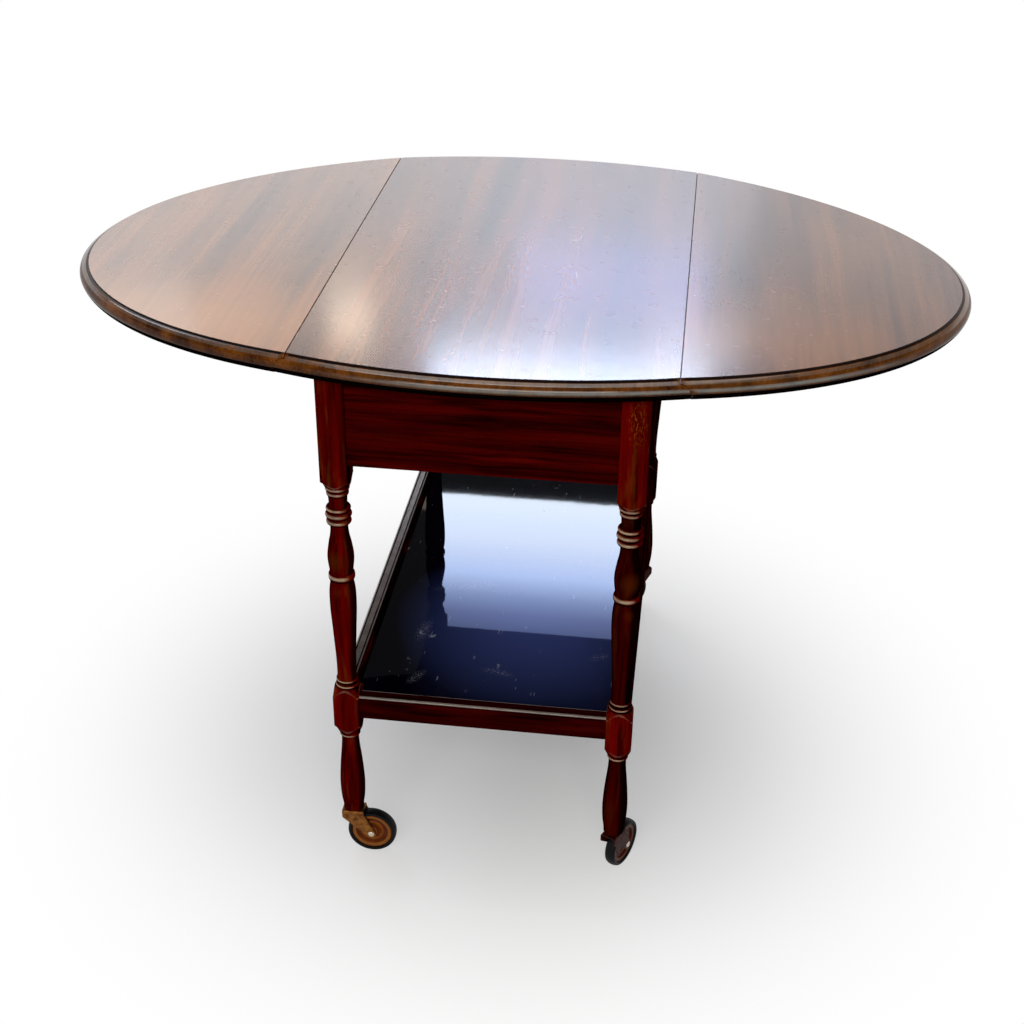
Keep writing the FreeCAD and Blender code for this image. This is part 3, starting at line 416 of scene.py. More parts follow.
# Bright riveted ends of the axles: plated steel, rubbed clean
rivetSteel = metalFinish("platedRivetSteel", dict(
    colour="#cfc4b0", tarnish="#8d7a62", speck="#5b4632", speckShare=0.4, patchScale=300.0,
    speckScale=900.0, patchRange=(0.5, 0.75), roughness=(0.18, 0.3), metallic=1.0, grain=0.00001))
# Wheel discs: enamelled steel, orange brown, dark red brown in the hollows of the dish, paler on the raised
# rings
discLook = dict(
    colour="#a8560e", tarnish="#84380a", speck="#3a0e06", speckShare=0.6, patchScale=110.0,
    speckScale=500.0, patchRange=(0.4, 0.7), roughness=(0.35, 0.5), metallic=0.0, grain=0.00003,
    specular=0.12, bright="#bb8c50")
discEnamel = metalFinish("enamelledWheelDisc", discLook)
# the other three are darker red brown all over; on the back right one this is also painted shade
discDark = metalFinish("enamelledWheelDiscDark", dict(discLook, colour="#6a260a", tarnish="#431206",
    speck="#1e0603", bright="#8c5a38"))
# Hinges, brackets and screws: plain rolled steel, brown with age
steelLook = dict(
    colour="#6f675e", tarnish="#46382c", speck="#6b3a1c", speckShare=0.5, patchScale=120.0,
    speckScale=600.0, patchRange=(0.4, 0.65), roughness=(0.38, 0.58), metallic=1.0, grain=0.00002)
oldSteel = metalFinish("agedHingeSteel", steelLook)
# their heads are rubbed brighter by the driver
screwSteel = metalFinish("wornScrewSteel", dict(
    steelLook, colour="#8a8274", tarnish="#54483a", speckShare=0.4, patchScale=200.0, speckScale=800.0,
    roughness=(0.3, 0.45), grain=0.00001))
# Solid rubber tyres: black, greyed by dust on the tread
tyreRubber = metalFinish("dustyTyreRubber", dict(
    colour="#050606", tarnish="#0c0d0d", speck="#1c1e1d", speckShare=0.6, patchScale=70.0,
    speckScale=700.0, patchRange=(0.4, 0.7), roughness=(0.42, 0.6), metallic=0.0, grain=0.00004,
    specular=0.12))
print("finishes made")


# The oval top in three boards, with a rule joint each side of the middle one

top = dict(
    halfLength=552.0, halfWidth=375.5, topHeight=719.0, thickness=22.2,
    stepInset=12.4,          # from the edge to the step round the field
    jointLine=211.5, jointStep=4.0, roundRadius=13.5, hollowRadius=13.9, openGap=0.4,
    arris=0.25,              # corners taken off along each joint
    sagDegrees=2.25, steps=288, sharpDegrees=28, cutReach=500,
    # painted highlight on the round of the edge: where it sits in degrees round it and in depth, and how far it
    # spreads from there
    highlightAt=110.0, highlightFull=2.2, highlightSpread=18, highlightDepth=10.0, highlightBand=3.2,
    shadeFrom=12.5, shadeOver=3,        # painted shade on the lower round of the edge sets in at this depth, over this much
    # share of the oval that counts as inside the edge; depth of the field, depth below which the moulded edge
    # takes the underside finish as painted shade, and rise of the underside stain inside
    insideShare=0.968, fieldDepth=0.02, edgeShadeDepth=14.0, stainRise=2.6,
    hingePlaces=(-200.0, 200.0), hingeHalf=35.3, plateReach=30.0, flapReach=46.0,
    plateDeep=2, flapDeep=2.5, knuckleIn=6.2, knuckleOut=3.6, knuckleHigh=3.5, flapRoom=15.5,
)
underside = top["topHeight"] - top["thickness"]
hingeHeight = top["topHeight"] - top["jointStep"] - top["roundRadius"]


def ovalBoard():
    # (inset, depth, value) stations: field, painted shade in the step, flat band, then the long round of the
    # edge, painted shade below
    step = top["stepInset"]
    stations = [(step + 0.3, 0.0, 0), (step, 0.3, -1), (step - 0.2, 1.5, -1), (step - 0.6, 1.9, -1)]
    shape = curveThrough([(11.3, 2.0), (8.8, 2.35), (5.4, 3.7), (2.5, 5.8), (0.7, 8.4), (0.0, 11.2),
        (0.4, 14.2), (1.7, 17.4), (3.5, 20.2), (5.6, 22.2)], 3)
    for inset, depth in shape:
        dirt = min(1.0, max(0.0, (depth - top["shadeFrom"]) / top["shadeOver"]))
        rub = -0.8 if depth < 2.25 else 0.35 if depth < 4.6 else -dirt
        stations.append((inset, depth, rub))
    stations.append((7.0, top["thickness"], 0))
    verts, wearAndPaintedLightValues, count = [], [], top["steps"]
    for inset, depth, rub in stations:
        for k in range(count):
            turn = 2 * math.pi * k / count
            # painted highlight: a grey band right of the middle at the front, and the same at the back
            aside = abs(math.degrees(turn) % 180 - top["highlightAt"]) / top["highlightSpread"]
            highlight = max(0.0, min(1.0, top["highlightFull"] - aside))
            band = max(0.0, 1 - abs(depth - top["highlightDepth"]) / top["highlightBand"])
            wearAndPaintedLightValues.append(rub or highlight * band)
            verts.append(((top["halfLength"] - inset) * math.cos(turn) * mm,
                (top["halfWidth"] - inset) * math.sin(turn) * mm, (top["topHeight"] - depth) * mm))
    return verts, skin(len(stations), count, 1), wearAndPaintedLightValues


def carve(piece, cutters):
    # take each cutter, a closed section carried along Y, out of a piece
    made = []
    for section, low, high in cutters:
        verts, faces = sweep([(x * mm, z * mm) for x, z in section], low * mm, high * mm, "Y")
        cutter = meshPiece("cutter", verts, faces, piece.data.materials[0])
        made.append(cutter)
        modifier = piece.modifiers.new("cut", "BOOLEAN")
        modifier.operation, modifier.solver, modifier.object = "DIFFERENCE", "EXACT", cutter
    applyModifiers(piece, top["sharpDegrees"])
    for cutter in made:
        bpy.data.objects.remove(cutter)


def jointSection(radius, start, outward):
    # what is taken away on one side of the right-hand joint
    line, arris, high = top["jointLine"] + start, top["arris"], top["topHeight"]
    turn = math.degrees(math.asin((underside - 1 - hingeHeight) / radius))
    first = math.degrees(math.acos(start / radius))
    side = -1 if outward else 1
    round_ = arc((top["jointLine"], hingeHeight), radius, first, turn, 24)
    far = 700 if outward else -700
    return [(far, high + 1), (line + side * arris, high + 1), (line + side * arris, high),
        (line, high - arris)] + round_ + [(far, underside - 1)]


def hingeRecess(place, fixed):
    line, half, below, bed = top["jointLine"], top["hingeHalf"], underside - 1, underside + top["plateDeep"]
    if fixed:
        inward, outward = line - top["knuckleIn"], line + top["knuckleOut"]
        crown = hingeHeight + top["knuckleHigh"]
        flapBed, flapEnd = underside + top["flapDeep"], line + top["flapRoom"]
        section = [(line - top["plateReach"], below), (line - top["plateReach"], bed), (inward, bed),
            (inward, crown), (outward, crown), (outward, flapBed), (flapEnd, flapBed), (flapEnd, below)]
    else:
        section = [(line, below), (line, bed), (line + top["flapReach"], bed), (line + top["flapReach"], below)]
    return section, place - half, place + half


def finishEdges(piece):
    # the flat field is polished, the moulded edge has a stain of its own, the rule joint is near black as
    # painted shade, the underside is dry and its finish is also the painted shade on the lower round of the
    # edge
    for material in (edgeWood, underAndEdgeShadeWood, jointShadeWood):
        piece.data.materials.append(material)
    for polygon in piece.data.polygons:
        place = polygon.center
        inside = math.hypot(place.x / top["halfLength"], place.y / top["halfWidth"]) < top["insideShare"] * mm
        fieldLow = top["topHeight"] - (top["arris"] if inside else top["fieldDepth"])
        stainHigh = underside + top["stainRise"] if inside else top["topHeight"] - top["edgeShadeDepth"]
        # 0 field, 1 moulded edge, 2 underside and painted shade below the edge's round, 3 rule joint in painted
        # shade
        polygon.material_index = (
            0 if place.z > fieldLow * mm else 2 if place.z < stainHigh * mm else 3 if inside else 1)


def mirrorSection(cutter):
    section, low, high = cutter
    return [(-x, z) for x, z in section], low, high


def boardCuts(radius, start, fixed):
    # the rule joint and the hinge recesses of one side, cut from end to end
    reach = top["cutReach"]
    return [(jointSection(radius, start, fixed), -reach, reach)] + [hingeRecess(place, fixed)
                                                                    for place in top["hingePlaces"]]


verts, faces, edgeWearAndPaintedLight = ovalBoard()
panelCuts = boardCuts(top["roundRadius"], 0.0, True)
leafCuts = boardCuts(top["hollowRadius"], top["openGap"], False)
centrePanel = meshPiece("centrePanelBoard", verts, faces, centreWood, top["sharpDegrees"], edgeWearAndPaintedLight)
carve(centrePanel, panelCuts + [mirrorSection(c) for c in panelCuts])
finishEdges(centrePanel)
placeOn(centrePanel, "frame", "mahogany_top", "centre_panel")

for side, name, wood in ((1, "right", rightWood), (-1, "left", leftWood)):
    leaf = meshPiece(name + "LeafBoard", verts, faces, wood, top["sharpDegrees"], edgeWearAndPaintedLight)
    carve(leaf, leafCuts if side > 0 else [mirrorSection(c) for c in leafCuts])
    finishEdges(leaf)
    # the leaf hangs a little below level, turned about its hinge pins
    pivot = Vector((side * top["jointLine"] * mm, 0, hingeHeight * mm))
    sag = Matrix.Rotation(math.radians(side * top["sagDegrees"]), 4, "Y")
    leaf.matrix_world = Matrix.Translation(pivot) @ sag @ Matrix.Translation(-pivot)
    placeOn(leaf, name + "_leaf", "mahogany_top", name + "_leaf")
print("top made")


# Turned legs, left square where the rails join them

leg = dict(
    x=168.0, y=312.7, half=16.0, top=719.0,
    cornerRound=0.9,         # arris of the squares, worn soft
    faceSteps=14, cornerSteps=6, cornerAngle=3.5,
    square=99.0,             # radius of a station that is left square, past every corner
    blocks=((0, 172), (453.9, 520.1)),       # depths that are square or run out into a square
    turnOutRub=0.32,         # line where the turning runs out into the flat
    # direction the light comes from, and how far out from the axis the painted highlight sits on that side
    litSide=110, highlightOut=0.0155,
    # painted shade away from the light: on turned parts, and what is spared at the very back, where light falls
    # in
    awayShade=0.85, backSpared=0.7,
    # (turned, block) painted shade: the front right leg is darker where it is turned and less dark on its
    # squares
    dirt={"FrontRight": (0.62, 0.3)}, usualShade=(0.0, 0.9),
)


def beadStations(low, high, neck, crown, steps=9):
    # (depth, radius, value) of a turned bead: a painted highlight on its upper half, painted shade at both ends
    made = []
    for i in range(steps + 1):
        t = -1 + 2 * i / steps
        made.append((low + (high - low) * (i / steps), neck + (crown - neck) * math.sqrt(max(0.0, 1 - t * t)),
            max(-1.0, 1.0 - 2.6 * abs(t + 0.3) ** 1.6)))
    return made


def plainStations(points, steps, rub=0.0):
    return [(d, r, rub) for d, r in curveThrough(points, steps)]


def legStations():
    # depth below the top, radius and value of painted highlight and shade, from the underside of the top down
    # to the foot
    made = [(22.2, leg["square"], 0.0)]
    made += [(d, leg["square"], 0.0) for d in np.arange(26.0, 159.0, 4.0)]
    made += plainStations([(160.5, 23.6), (164.0, 19.2), (168.0, 16.6), (171.0, 15.2)], 8)
    made += [(171.4, 12.2, -1.0)]
    made += beadStations(171.4, 177.0, 12.2, 14.4)
    made += [(178.0, 11.4, -0.8)]
    made += beadStations(178.0, 184.0, 11.4, 13.2)
    made += plainStations([(184.0, 11.4), (191.0, 10.9), (198.4, 10.8)], 5)
    made += beadStations(198.4, 204.6, 10.8, 14.6)
    made += beadStations(205.4, 213.6, 10.6, 15.6)
    made += beadStations(214.6, 222.4, 10.4, 14.8)
    made += plainStations([(222.4, 10.4), (230.0, 10.5), (235.5, 11.0), (241.0, 11.9), (246.0, 13.0),
        (252.0, 14.0), (257.0, 14.8), (263.0, 15.5), (268.0, 15.7), (274.0, 15.4), (279.5, 14.8), (285.0, 14.1),
        (288.5, 13.6)], 3)
    made += beadStations(288.5, 299.0, 13.6, 15.9, 12)
    made += plainStations([(299.0, 13.6), (302.0, 14.0), (307.5, 14.9), (313.0, 15.5), (319.0, 15.9),
        (330.0, 16.0), (342.0, 15.8), (353.5, 15.2), (365.0, 14.5), (377.0, 13.9), (389.0, 13.3), (400.0, 12.7),
        (412.5, 12.2), (430.0, 11.8), (441.8, 12.0)], 3)
    made += beadStations(441.8, 446.4, 12.0, 13.4)
    made += [(447.2, 12.4, -0.8), (449.0, 13.0, -0.6)]
    made += beadStations(449.0, 453.6, 13.0, 14.3)
    made += plainStations([(454.0, 15.6), (458.0, 17.3), (463.0, 20.4), (466.5, 23.6)], 8)
    made += [(d, leg["square"], 0.0) for d in np.arange(468.5, 506.5, 3.0)]
    made += plainStations([(507.5, 23.6), (511.0, 20.4), (516.0, 17.3), (520.0, 15.5)], 8)
    made += [(523.0, 14.0, 0.0), (526.0, 12.6, 0.0), (526.1, 10.9, -1.0)]
    made += beadStations(526.1, 530.5, 10.8, 12.9)
    made += plainStations([(530.6, 10.8), (537.0, 10.8), (545.0, 11.1), (555.0, 12.0), (568.0, 13.3),
        (581.0, 14.4), (595.0, 15.3), (608.0, 15.8), (620.0, 15.5), (628.0, 15.0), (634.5, 14.3), (641.0, 13.3),
        (646.0, 12.9), (649.4, 12.8)], 3)
    made += [(650.0, 12.2, -0.5)]
    return made


def standing(sideX, sideY, degrees):
    # at a leg's place, turned about its own axis
    return (Matrix.Translation((sideX * leg["x"] * mm, sideY * leg["y"] * mm, 0))
        @ Matrix.Rotation(math.radians(degrees), 4, "Z"))


def squareRadius(turn):
    # distance from the axis to the side of the rounded square in a direction
    half, corner = leg["half"], leg["cornerRound"]
    c, s = abs(math.cos(turn)), abs(math.sin(turn))
    if c < s:
        c, s = s, c
    flat = half / c
    if flat * s <= half - corner:
        return flat
    inner = half - corner
    b = inner * (c + s)
    return b + math.sqrt(max(0.0, b * b - 2 * inner * inner + corner * corner))


def legTurns():
    # directions round the leg, closer together at the four corners
    flat, corner = 45 - leg["cornerAngle"], leg["cornerAngle"]
    made = []
    for quarter in range(4):
        made += [quarter * 90 - flat + 2 * flat * i / leg["faceSteps"] for i in range(leg["faceSteps"])]
        made += [quarter * 90 + flat + 2 * corner * i / leg["cornerSteps"] for i in range(leg["cornerSteps"])]
    return [math.radians(a) for a in made]


def legMesh(outward, turnedShade, blockShade):
    # outward is the side toward the light, where the bead highlights are painted; away from it shade is painted
    turns = legTurns()
    squares = [squareRadius(t) for t in turns]
    verts, wearAndPaintedLightValues, stations = [], [], legStations()
    for depth, radius, rub in stations:
        inBlock = any(high < depth < low for high, low in leg["blocks"])
        for turn, square in zip(turns, squares):
            r = min(radius, square) if inBlock else radius
            facing = math.cos(turn - outward)
            # share of the side toward the light; away from it shade is painted
            reach = max(0.0, min(1.0, (facing - 0.3) / 0.5))
            away = (1 - reach) * (1 - leg["backSpared"] * max(0.0, min(1.0, (-facing - 0.1) / 0.5)))
            if not inBlock:
                legWearAndLight = rub * reach if rub > 0 else rub - turnedShade - leg["awayShade"] * away
            elif radius < leg["square"] and abs(radius - square) < 0.7:
                legWearAndLight = leg["turnOutRub"]
            else:
                # painted shade on the square faces away from the light
                legWearAndLight = -blockShade * away
            verts.append((r * math.cos(turn) * mm, r * math.sin(turn) * mm, (leg["top"] - depth) * mm))
            wearAndPaintedLightValues.append(legWearAndLight)
    return verts, skin(len(stations), len(turns), 1), wearAndPaintedLightValues


for name, sideX, sideY, quarter in (("FrontLeft", -1, -1, 0), ("FrontRight", 1, -1, 1), ("BackLeft", -1, 1, 2),
        ("BackRight", 1, 1, 3)):
    # each leg has its own length of timber, the two at the back darker
    legLook = dict(frameLook if sideY < 0 else backLegLook, seed=8.4 + 5.3 * quarter)
    turned = math.radians(90 * quarter)
    frontX, frontY = -leg["highlightOut"] * math.sin(turned), -leg["highlightOut"] * math.cos(turned)
    if sideY < 0:
        # painted highlight: orange patches where the swell and the taper catch the light
        legLook.update(paleWood="#7e3c0a", pale=[(frontX, frontY, 0.456, 0.02, 0.55),
            (frontX, frontY, 0.414, 0.012, 0.5)])
    if name == "FrontRight":
        # the stain is scuffed through to orange on the square
        legLook.update(scratch="#a8581c", scuffShare=0.85,
            scuffs=[((frontX, frontY - 0.002, 0.66), 0.042, 0.013, 0, 7.0)])
    outward = math.radians(leg["litSide"] * sideY - 90 * quarter)
    verts, faces, wearAndPaintedLightValues = legMesh(outward, *leg["dirt"].get(name, leg["usualShade"]))
    piece = meshPiece("turnedLeg" + name, verts, faces, polishedWood("turnedMahogany" + name, legLook, 2), 50,
        wearAndPaintedLightValues)
    piece.matrix_world = standing(sideX, sideY, 90 * quarter)
    placeOn(piece, "frame", "mahogany_frame", "leg_"
        + name.replace("Left", "_left").replace("Right", "_right").lower())
print("legs made")


# Aprons and tray rails

rails = dict(
    apronLow=579.2, apronThick=19.0, apronOutX=181.0, apronOutY=325.7, apronArris=0.9,
    trayHigh=255.0, trayDeep=32.7, trayThick=16.0, trayOutX=180.0, trayOutY=324.7, bead=3.2,
    quirk=1.2, trayArris=1.0, betweenX=152.0, betweenY=296.7,
    # painted highlight and shade from point to point over the two beads, tone of the flat between them, and the
    # painted shade that caps the side away from the light
    outerBeadPaintedLight=(-0.6, 0, 0.8, 1, 1, 1, 0.9, 0.5, 0),
    innerBeadPaintedLight=(0, 0.4, 0.8, 0.8, 0.4, 0, -0.6, -0.8, -0.8),
    endFlatTone=-0.5, sideFlatTone=0.75, darkSidePaintedShade=-0.5,
)


def rubbedArc(centre, radius, start, end, wearAndPaintedLightValues):
    # an arc of (across, height, rub) points, one for each rub
    return [(x, z, w) for (x, z), w in zip(arc(centre, radius, start, end, len(wearAndPaintedLightValues) - 1), wearAndPaintedLightValues)]


def apronSection(out):
    # across the board, from the inner face to the outer one, corners softened: (across, height, rub) points
    inner, low, high, a = out - rails["apronThick"], rails["apronLow"], underside, rails["apronArris"]
    points = [(inner, high, 0), (inner, low + a, 0)]
    points += rubbedArc((inner + a, low + a), a, 180, 270, [0.1] * 5)
    points += rubbedArc((out - a, low + a), a, 270, 360, [0.2] * 5)
    return points + [(out, low + a + 2, 0), (out, high, 0)]


def traySection(out):
    # bead, quirk, flat, quirk, bead across the top edge; painted highlight brightest on the outer bead, painted
    # shade in the quirks and on the inner face
    inner, high, low = out - rails["trayThick"], rails["trayHigh"], rails["trayHigh"] - rails["trayDeep"]
    b, q, a = rails["bead"], rails["quirk"], rails["trayArris"]
    # the flat is darker along the two ends and lighter along the two sides
    flat = rails["endFlatTone"] if out == rails["trayOutY"] else rails["sideFlatTone"]
    points = [(inner, low + a, -0.8)]
    points += rubbedArc((inner + a, low + a), a, 180, 270, [-0.4] * 5)
    points += rubbedArc((out - a, low + a), a, 270, 360, [0.15] * 5)
    points += [(out, high - b - 1.5, 0), (out, high - b - 0.2, -0.6)]
    points += rubbedArc((out - b, high - b), b, 0, 90, rails["outerBeadPaintedLight"])
    points += [(out - b, high - q, -1), (out - b - q, high - q, -1), (out - b - q, high - 0.15, flat),
        (out - b - q - 0.15, high, flat), (inner + b + q + 0.15, high, flat),
        (inner + b + q, high - 0.15, flat), (inner + b + q, high - q, -1), (inner + b, high - q, -1)]
    points += rubbedArc((inner + b, high - b), b, 90, 180, rails["innerBeadPaintedLight"])
    points += [(inner, high - b - 0.4, -0.8)]
    return points


def railPiece(name, section, out, half, axis, side, node, woods):
    points = section(out)
    placed = [(side * a * mm, z * mm) for a, z, _ in points]
    verts, faces = sweep(placed, -half * mm, half * mm, axis)
    # painted shade: the right-hand side is away from the light
    rub = [min(r, rails["darkSidePaintedShade"]) if axis == "Y" and side > 0 else r for _, _, r in points] * 2
    piece = meshPiece(name, verts, faces, woods[axis], 40, rub)
    placeOn(piece, "frame", "mahogany_frame", node)


for section, outs, pattern, label, woods in (
        (apronSection, (rails["apronOutX"], rails["apronOutY"]), "{}_apron", "Apron",
         {"X": apronWoodX, "Y": apronWoodY}),
        (traySection, (rails["trayOutX"], rails["trayOutY"]), "tray_{}_rail", "TrayRail",
         {"X": trayRailX, "Y": trayRailY})):
    for place, out, half, axis, side in (("front", outs[1], rails["betweenX"], "X", -1),
            ("back", outs[1], rails["betweenX"], "X", 1), ("left", outs[0], rails["betweenY"], "Y", -1),
            ("right", outs[0], rails["betweenY"], "Y", 1)):
        railPiece(place + label, section, out, half, axis, side, pattern.format(place), woods)
print("aprons and tray rails made")


# Casters, each built about its own swivel axis with the axle out along +X

caster = dict(
    wheelRadius=31.75, tyreDepth=5.85, tyreWidth=14.0, discWidth=10.0, trail=23.0, hubWidth=16.0,
    sheet=2.0, cheekInner=8.5, crownTop=67.4, crownHalf=14.0, bendRadius=2.6, eyeRadius=6.0,
    frontDrop=5.0, backDrop=11.0, axleRadius=2.5, headings={
        "front_left": (-1, -1, 0.0), "front_right": (1, -1, 64.5), "back_left": (-1, 1, 155.0),
        "back_right": (1, 1, 225.0)},
)


def forkEdges(height):
    # front and back edge of the cheek at a height: straight tapers that touch the round eye
    eyeX, eyeZ, eye = caster["trail"], caster["wheelRadius"], caster["eyeRadius"]
    half, crown = caster["crownHalf"], caster["crownTop"]

    def side(pointX, pointZ, turn):
        if height >= pointZ:
            return pointX
        awayX, awayZ = pointX - eyeX, pointZ - eyeZ
        angle = math.atan2(awayZ, awayX) + turn * math.acos(eye / math.hypot(awayX, awayZ))
        touchX, touchZ = eyeX + eye * math.cos(angle), eyeZ + eye * math.sin(angle)
        if height >= touchZ:
            return touchX + (pointX - touchX) * (height - touchZ) / (pointZ - touchZ)
        return eyeX - turn * math.sqrt(max(0.0, eye * eye - (height - eyeZ) ** 2))

    return side(-half, crown - caster["backDrop"], 1), side(half, crown - caster["frontDrop"], -1)


def forkMesh():
    # middle line of the sheet from the tip of one eye up, over the crown and down to the other
    half = caster["sheet"] / 2
    wide, high, bend = caster["cheekInner"] + half, caster["crownTop"] - half, caster["bendRadius"] - half
    rows = []
    for i in range(13):
        angle = math.radians(-90 + 7.5 * i)
        rows.append((-wide, caster["wheelRadius"] + caster["eyeRadius"] * math.sin(angle)
            + (0.02 if i == 0 else 0)))
    rows += [(-wide, z) for z in np.linspace(caster["wheelRadius"] + 2, high - bend, 18)]
    rows += [(y, z) for y, z in arc((-wide + bend, high - bend), bend, 180, 90, 5)][1:]
    rows += [(y, high) for y in np.linspace(-wide + bend, wide - bend, 7)][1:-1]
    mirrored = [(-y, z) for y, z in rows if y < -1e-6]
    rows = [r for r in rows if r[0] < -1e-6] + [(0.0, high)] + mirrored[::-1]
    verts, faces, columns = [], [], 10
    for y, z in rows:
        back, front = forkEdges(z)
        for c in range(columns + 1):
            verts.append(((back + (front - back) * c / columns) * mm, y * mm, z * mm))
    for i in range(len(rows) - 1):
        for c in range(columns):
            a = i * (columns + 1) + c
            faces.append((a, a + 1, a + columns + 2, a + columns + 1))
    return verts, faces


def thickened(name, verts, faces, material, thickness, rounding):
    piece = meshPiece(name, verts, faces, material)
    shell = piece.modifiers.new("sheet", "SOLIDIFY")
    shell.thickness, shell.offset = thickness * mm, 0.0
    soft = piece.modifiers.new("edges", "BEVEL")
    soft.width, soft.segments, soft.limit_method, soft.angle_limit = rounding * mm, 2, "ANGLE", math.radians(50)
    applyModifiers(piece, 45)
    return piece


def discStations():
    # closed section of the wheel disc: hub, boss, dished web and rim, as (along the axle, radius, tone: below 0
    # darker, above 0 paler)
    rim = caster["wheelRadius"] - caster["tyreDepth"]
    half, hub = caster["discWidth"] / 2, caster["hubWidth"] / 2
    side = [(2.2, 19.6, -0.8), (2.5, 20.4, -0.6), (3.6, 20.9, 0), (4.6, 21.1, 0.4), (half, 21.6, 0.8),
        (half, 22.4, 0.6), (half, rim - 0.5, 0.2), (half - 0.4, rim, -0.8)]
    inner = [(hub, 2.6, 0.5), (hub, 4.9, 0.5), (hub - 0.3, 5.2, 0), (half + 0.4, 5.2, -0.5), (half, 5.6, 0),
        (half, 6.6, 0.4), (half - 0.4, 7.0, 0), (2.9, 7.2, -0.9), (2.3, 7.9, -0.9), (2.2, 9.0, -0.6),
        (2.2, 11.6, -0.6), (2.7, 12.4, -0.2), (3.3, 13.0, 0.2), (3.3, 14.6, 0.2), (2.7, 15.2, -0.3),
        (2.2, 16.0, -0.7)]
    return inner + side + [(-a, r, w) for a, r, w in side[::-1]] + [(-a, r, w) for a, r, w in inner[::-1]]


def tyreSection():
    outer, half, seat = caster["wheelRadius"], caster["tyreWidth"] / 2, caster["discWidth"] / 2
    rim = outer - caster["tyreDepth"]
    side = [(seat, rim + 0.02), (half - 0.5, rim + 0.9), (half - 0.1, rim + 1.5), (half, rim + 2.3),
        (half, rim + 3.1)]
    side += [(half * math.cos(math.radians(t)), outer - 2.75 + 2.75 * math.sin(math.radians(t)))
        for t in range(10, 90, 10)]
    return side + [(0.0, outer)] + [(-a, r) for a, r in side[::-1]]


def axleStations():
    outer = caster["cheekInner"] + caster["sheet"]
    dome = [(outer + 1.35 * math.sin(math.radians(t)), 4.0 * math.cos(math.radians(t)))
        for t in range(0, 86, 12)]
    shank = [(outer - 0.05, caster["axleRadius"]), (outer, caster["axleRadius"] + 0.1)]
    right = shank + dome + [(outer + 1.38, 0.12)]
    left = [(-a, r) for a, r in right[::-1]]
    return [(a * mm, r * mm) for a, r in left + right]


def atAxle(verts):
    return [(x + caster["trail"] * mm, y, z + caster["wheelRadius"] * mm) for x, y, z in verts]


forkVerts, forkFaces = forkMesh()
discVerts, discFaces = spunRing([(a * mm, r * mm) for a, r, _ in discStations()], 96)
discTone = [w for _, _, w in discStations()] * 96
tyreVerts, tyreFaces = spunRing([(a * mm, r * mm) for a, r in tyreSection()], 128)
axleVerts, axleFaces = spun(axleStations(), 32)
for name, (sideX, sideY, heading) in caster["headings"].items():
    place = standing(sideX, sideY, heading)
    label = "".join(part.capitalize() for part in name.split("_"))
    fork = thickened("casterFork" + label, forkVerts, forkFaces, brass if name == "front_left" else tarnishedAndShadedBrass,
        caster["sheet"], 0.35)
    disc = meshPiece("wheelDisc" + label, atAxle(discVerts), discFaces,
        discEnamel if name == "front_left" else discDark, 30, discTone)
    tyre = meshPiece("tyre" + label, atAxle(tyreVerts), tyreFaces, tyreRubber, 50)
    rivet = meshPiece("axleRivet" + label, atAxle(axleVerts), axleFaces, rivetSteel, 50)
    for piece, body, slotName, node in ((fork, "_caster", "caster_brass", "_fork"),
            (rivet, "_caster", "caster_brass", "_axle"), (disc, "_wheel", "caster_disc", "_wheel"),
            (tyre, "_wheel", "caster_tyre", "_tyre")):
        piece.matrix_world = place
        placeOn(piece, name + body, slotName, "caster_" + name + node)
print("casters made")


# What stays as it comes from the frame gets its finish here

carried = (
    (trayWood, "tray_panel"), (trayBeadWood, "tray_beads"),
    (bareWood, "tray_cleats top_bearers corner_blocks left_stay right_stay"),
    (screwSteel, "top_screws tray_screws hinge_plate_screws left_flap_screws right_flap_screws "
                 "stay_bracket_screws"),
    (oldSteel, "hinge_plates hinge_pins left_hinge_flaps right_hinge_flaps stay_brackets stay_pins "
               "left_stay_rest right_stay_rest"),
    (brass, "caster_sockets " + " ".join("caster_" + name + "_stem" for name in caster["headings"])),
)
for material, nodeNames in carried:
    for nodeName in nodeNames.split():
        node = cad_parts[nodeName]
        for slot in node.material_slots:
            slot.material = material
        if not node.material_slots:
            node.data.materials.append(material)
print("frame nodes finished")


# Floor, lamps, world and camera

stage = dict(
    floorColour="#f3f3f3", floorBounce="#8c8c8c", floorSize=30.0, floorShow=0.24, fadeStart=0.05,
    fadeEnd=0.76, worldLight=0.14,
    ceilingDark=0.05, ceilingFrom=20, ceilingTo=28,
    camera=(0.2183, -1.8364, 1.4399), yaw=-6.926, pitch=30.722, roll=0.678, lens=55.41,
)
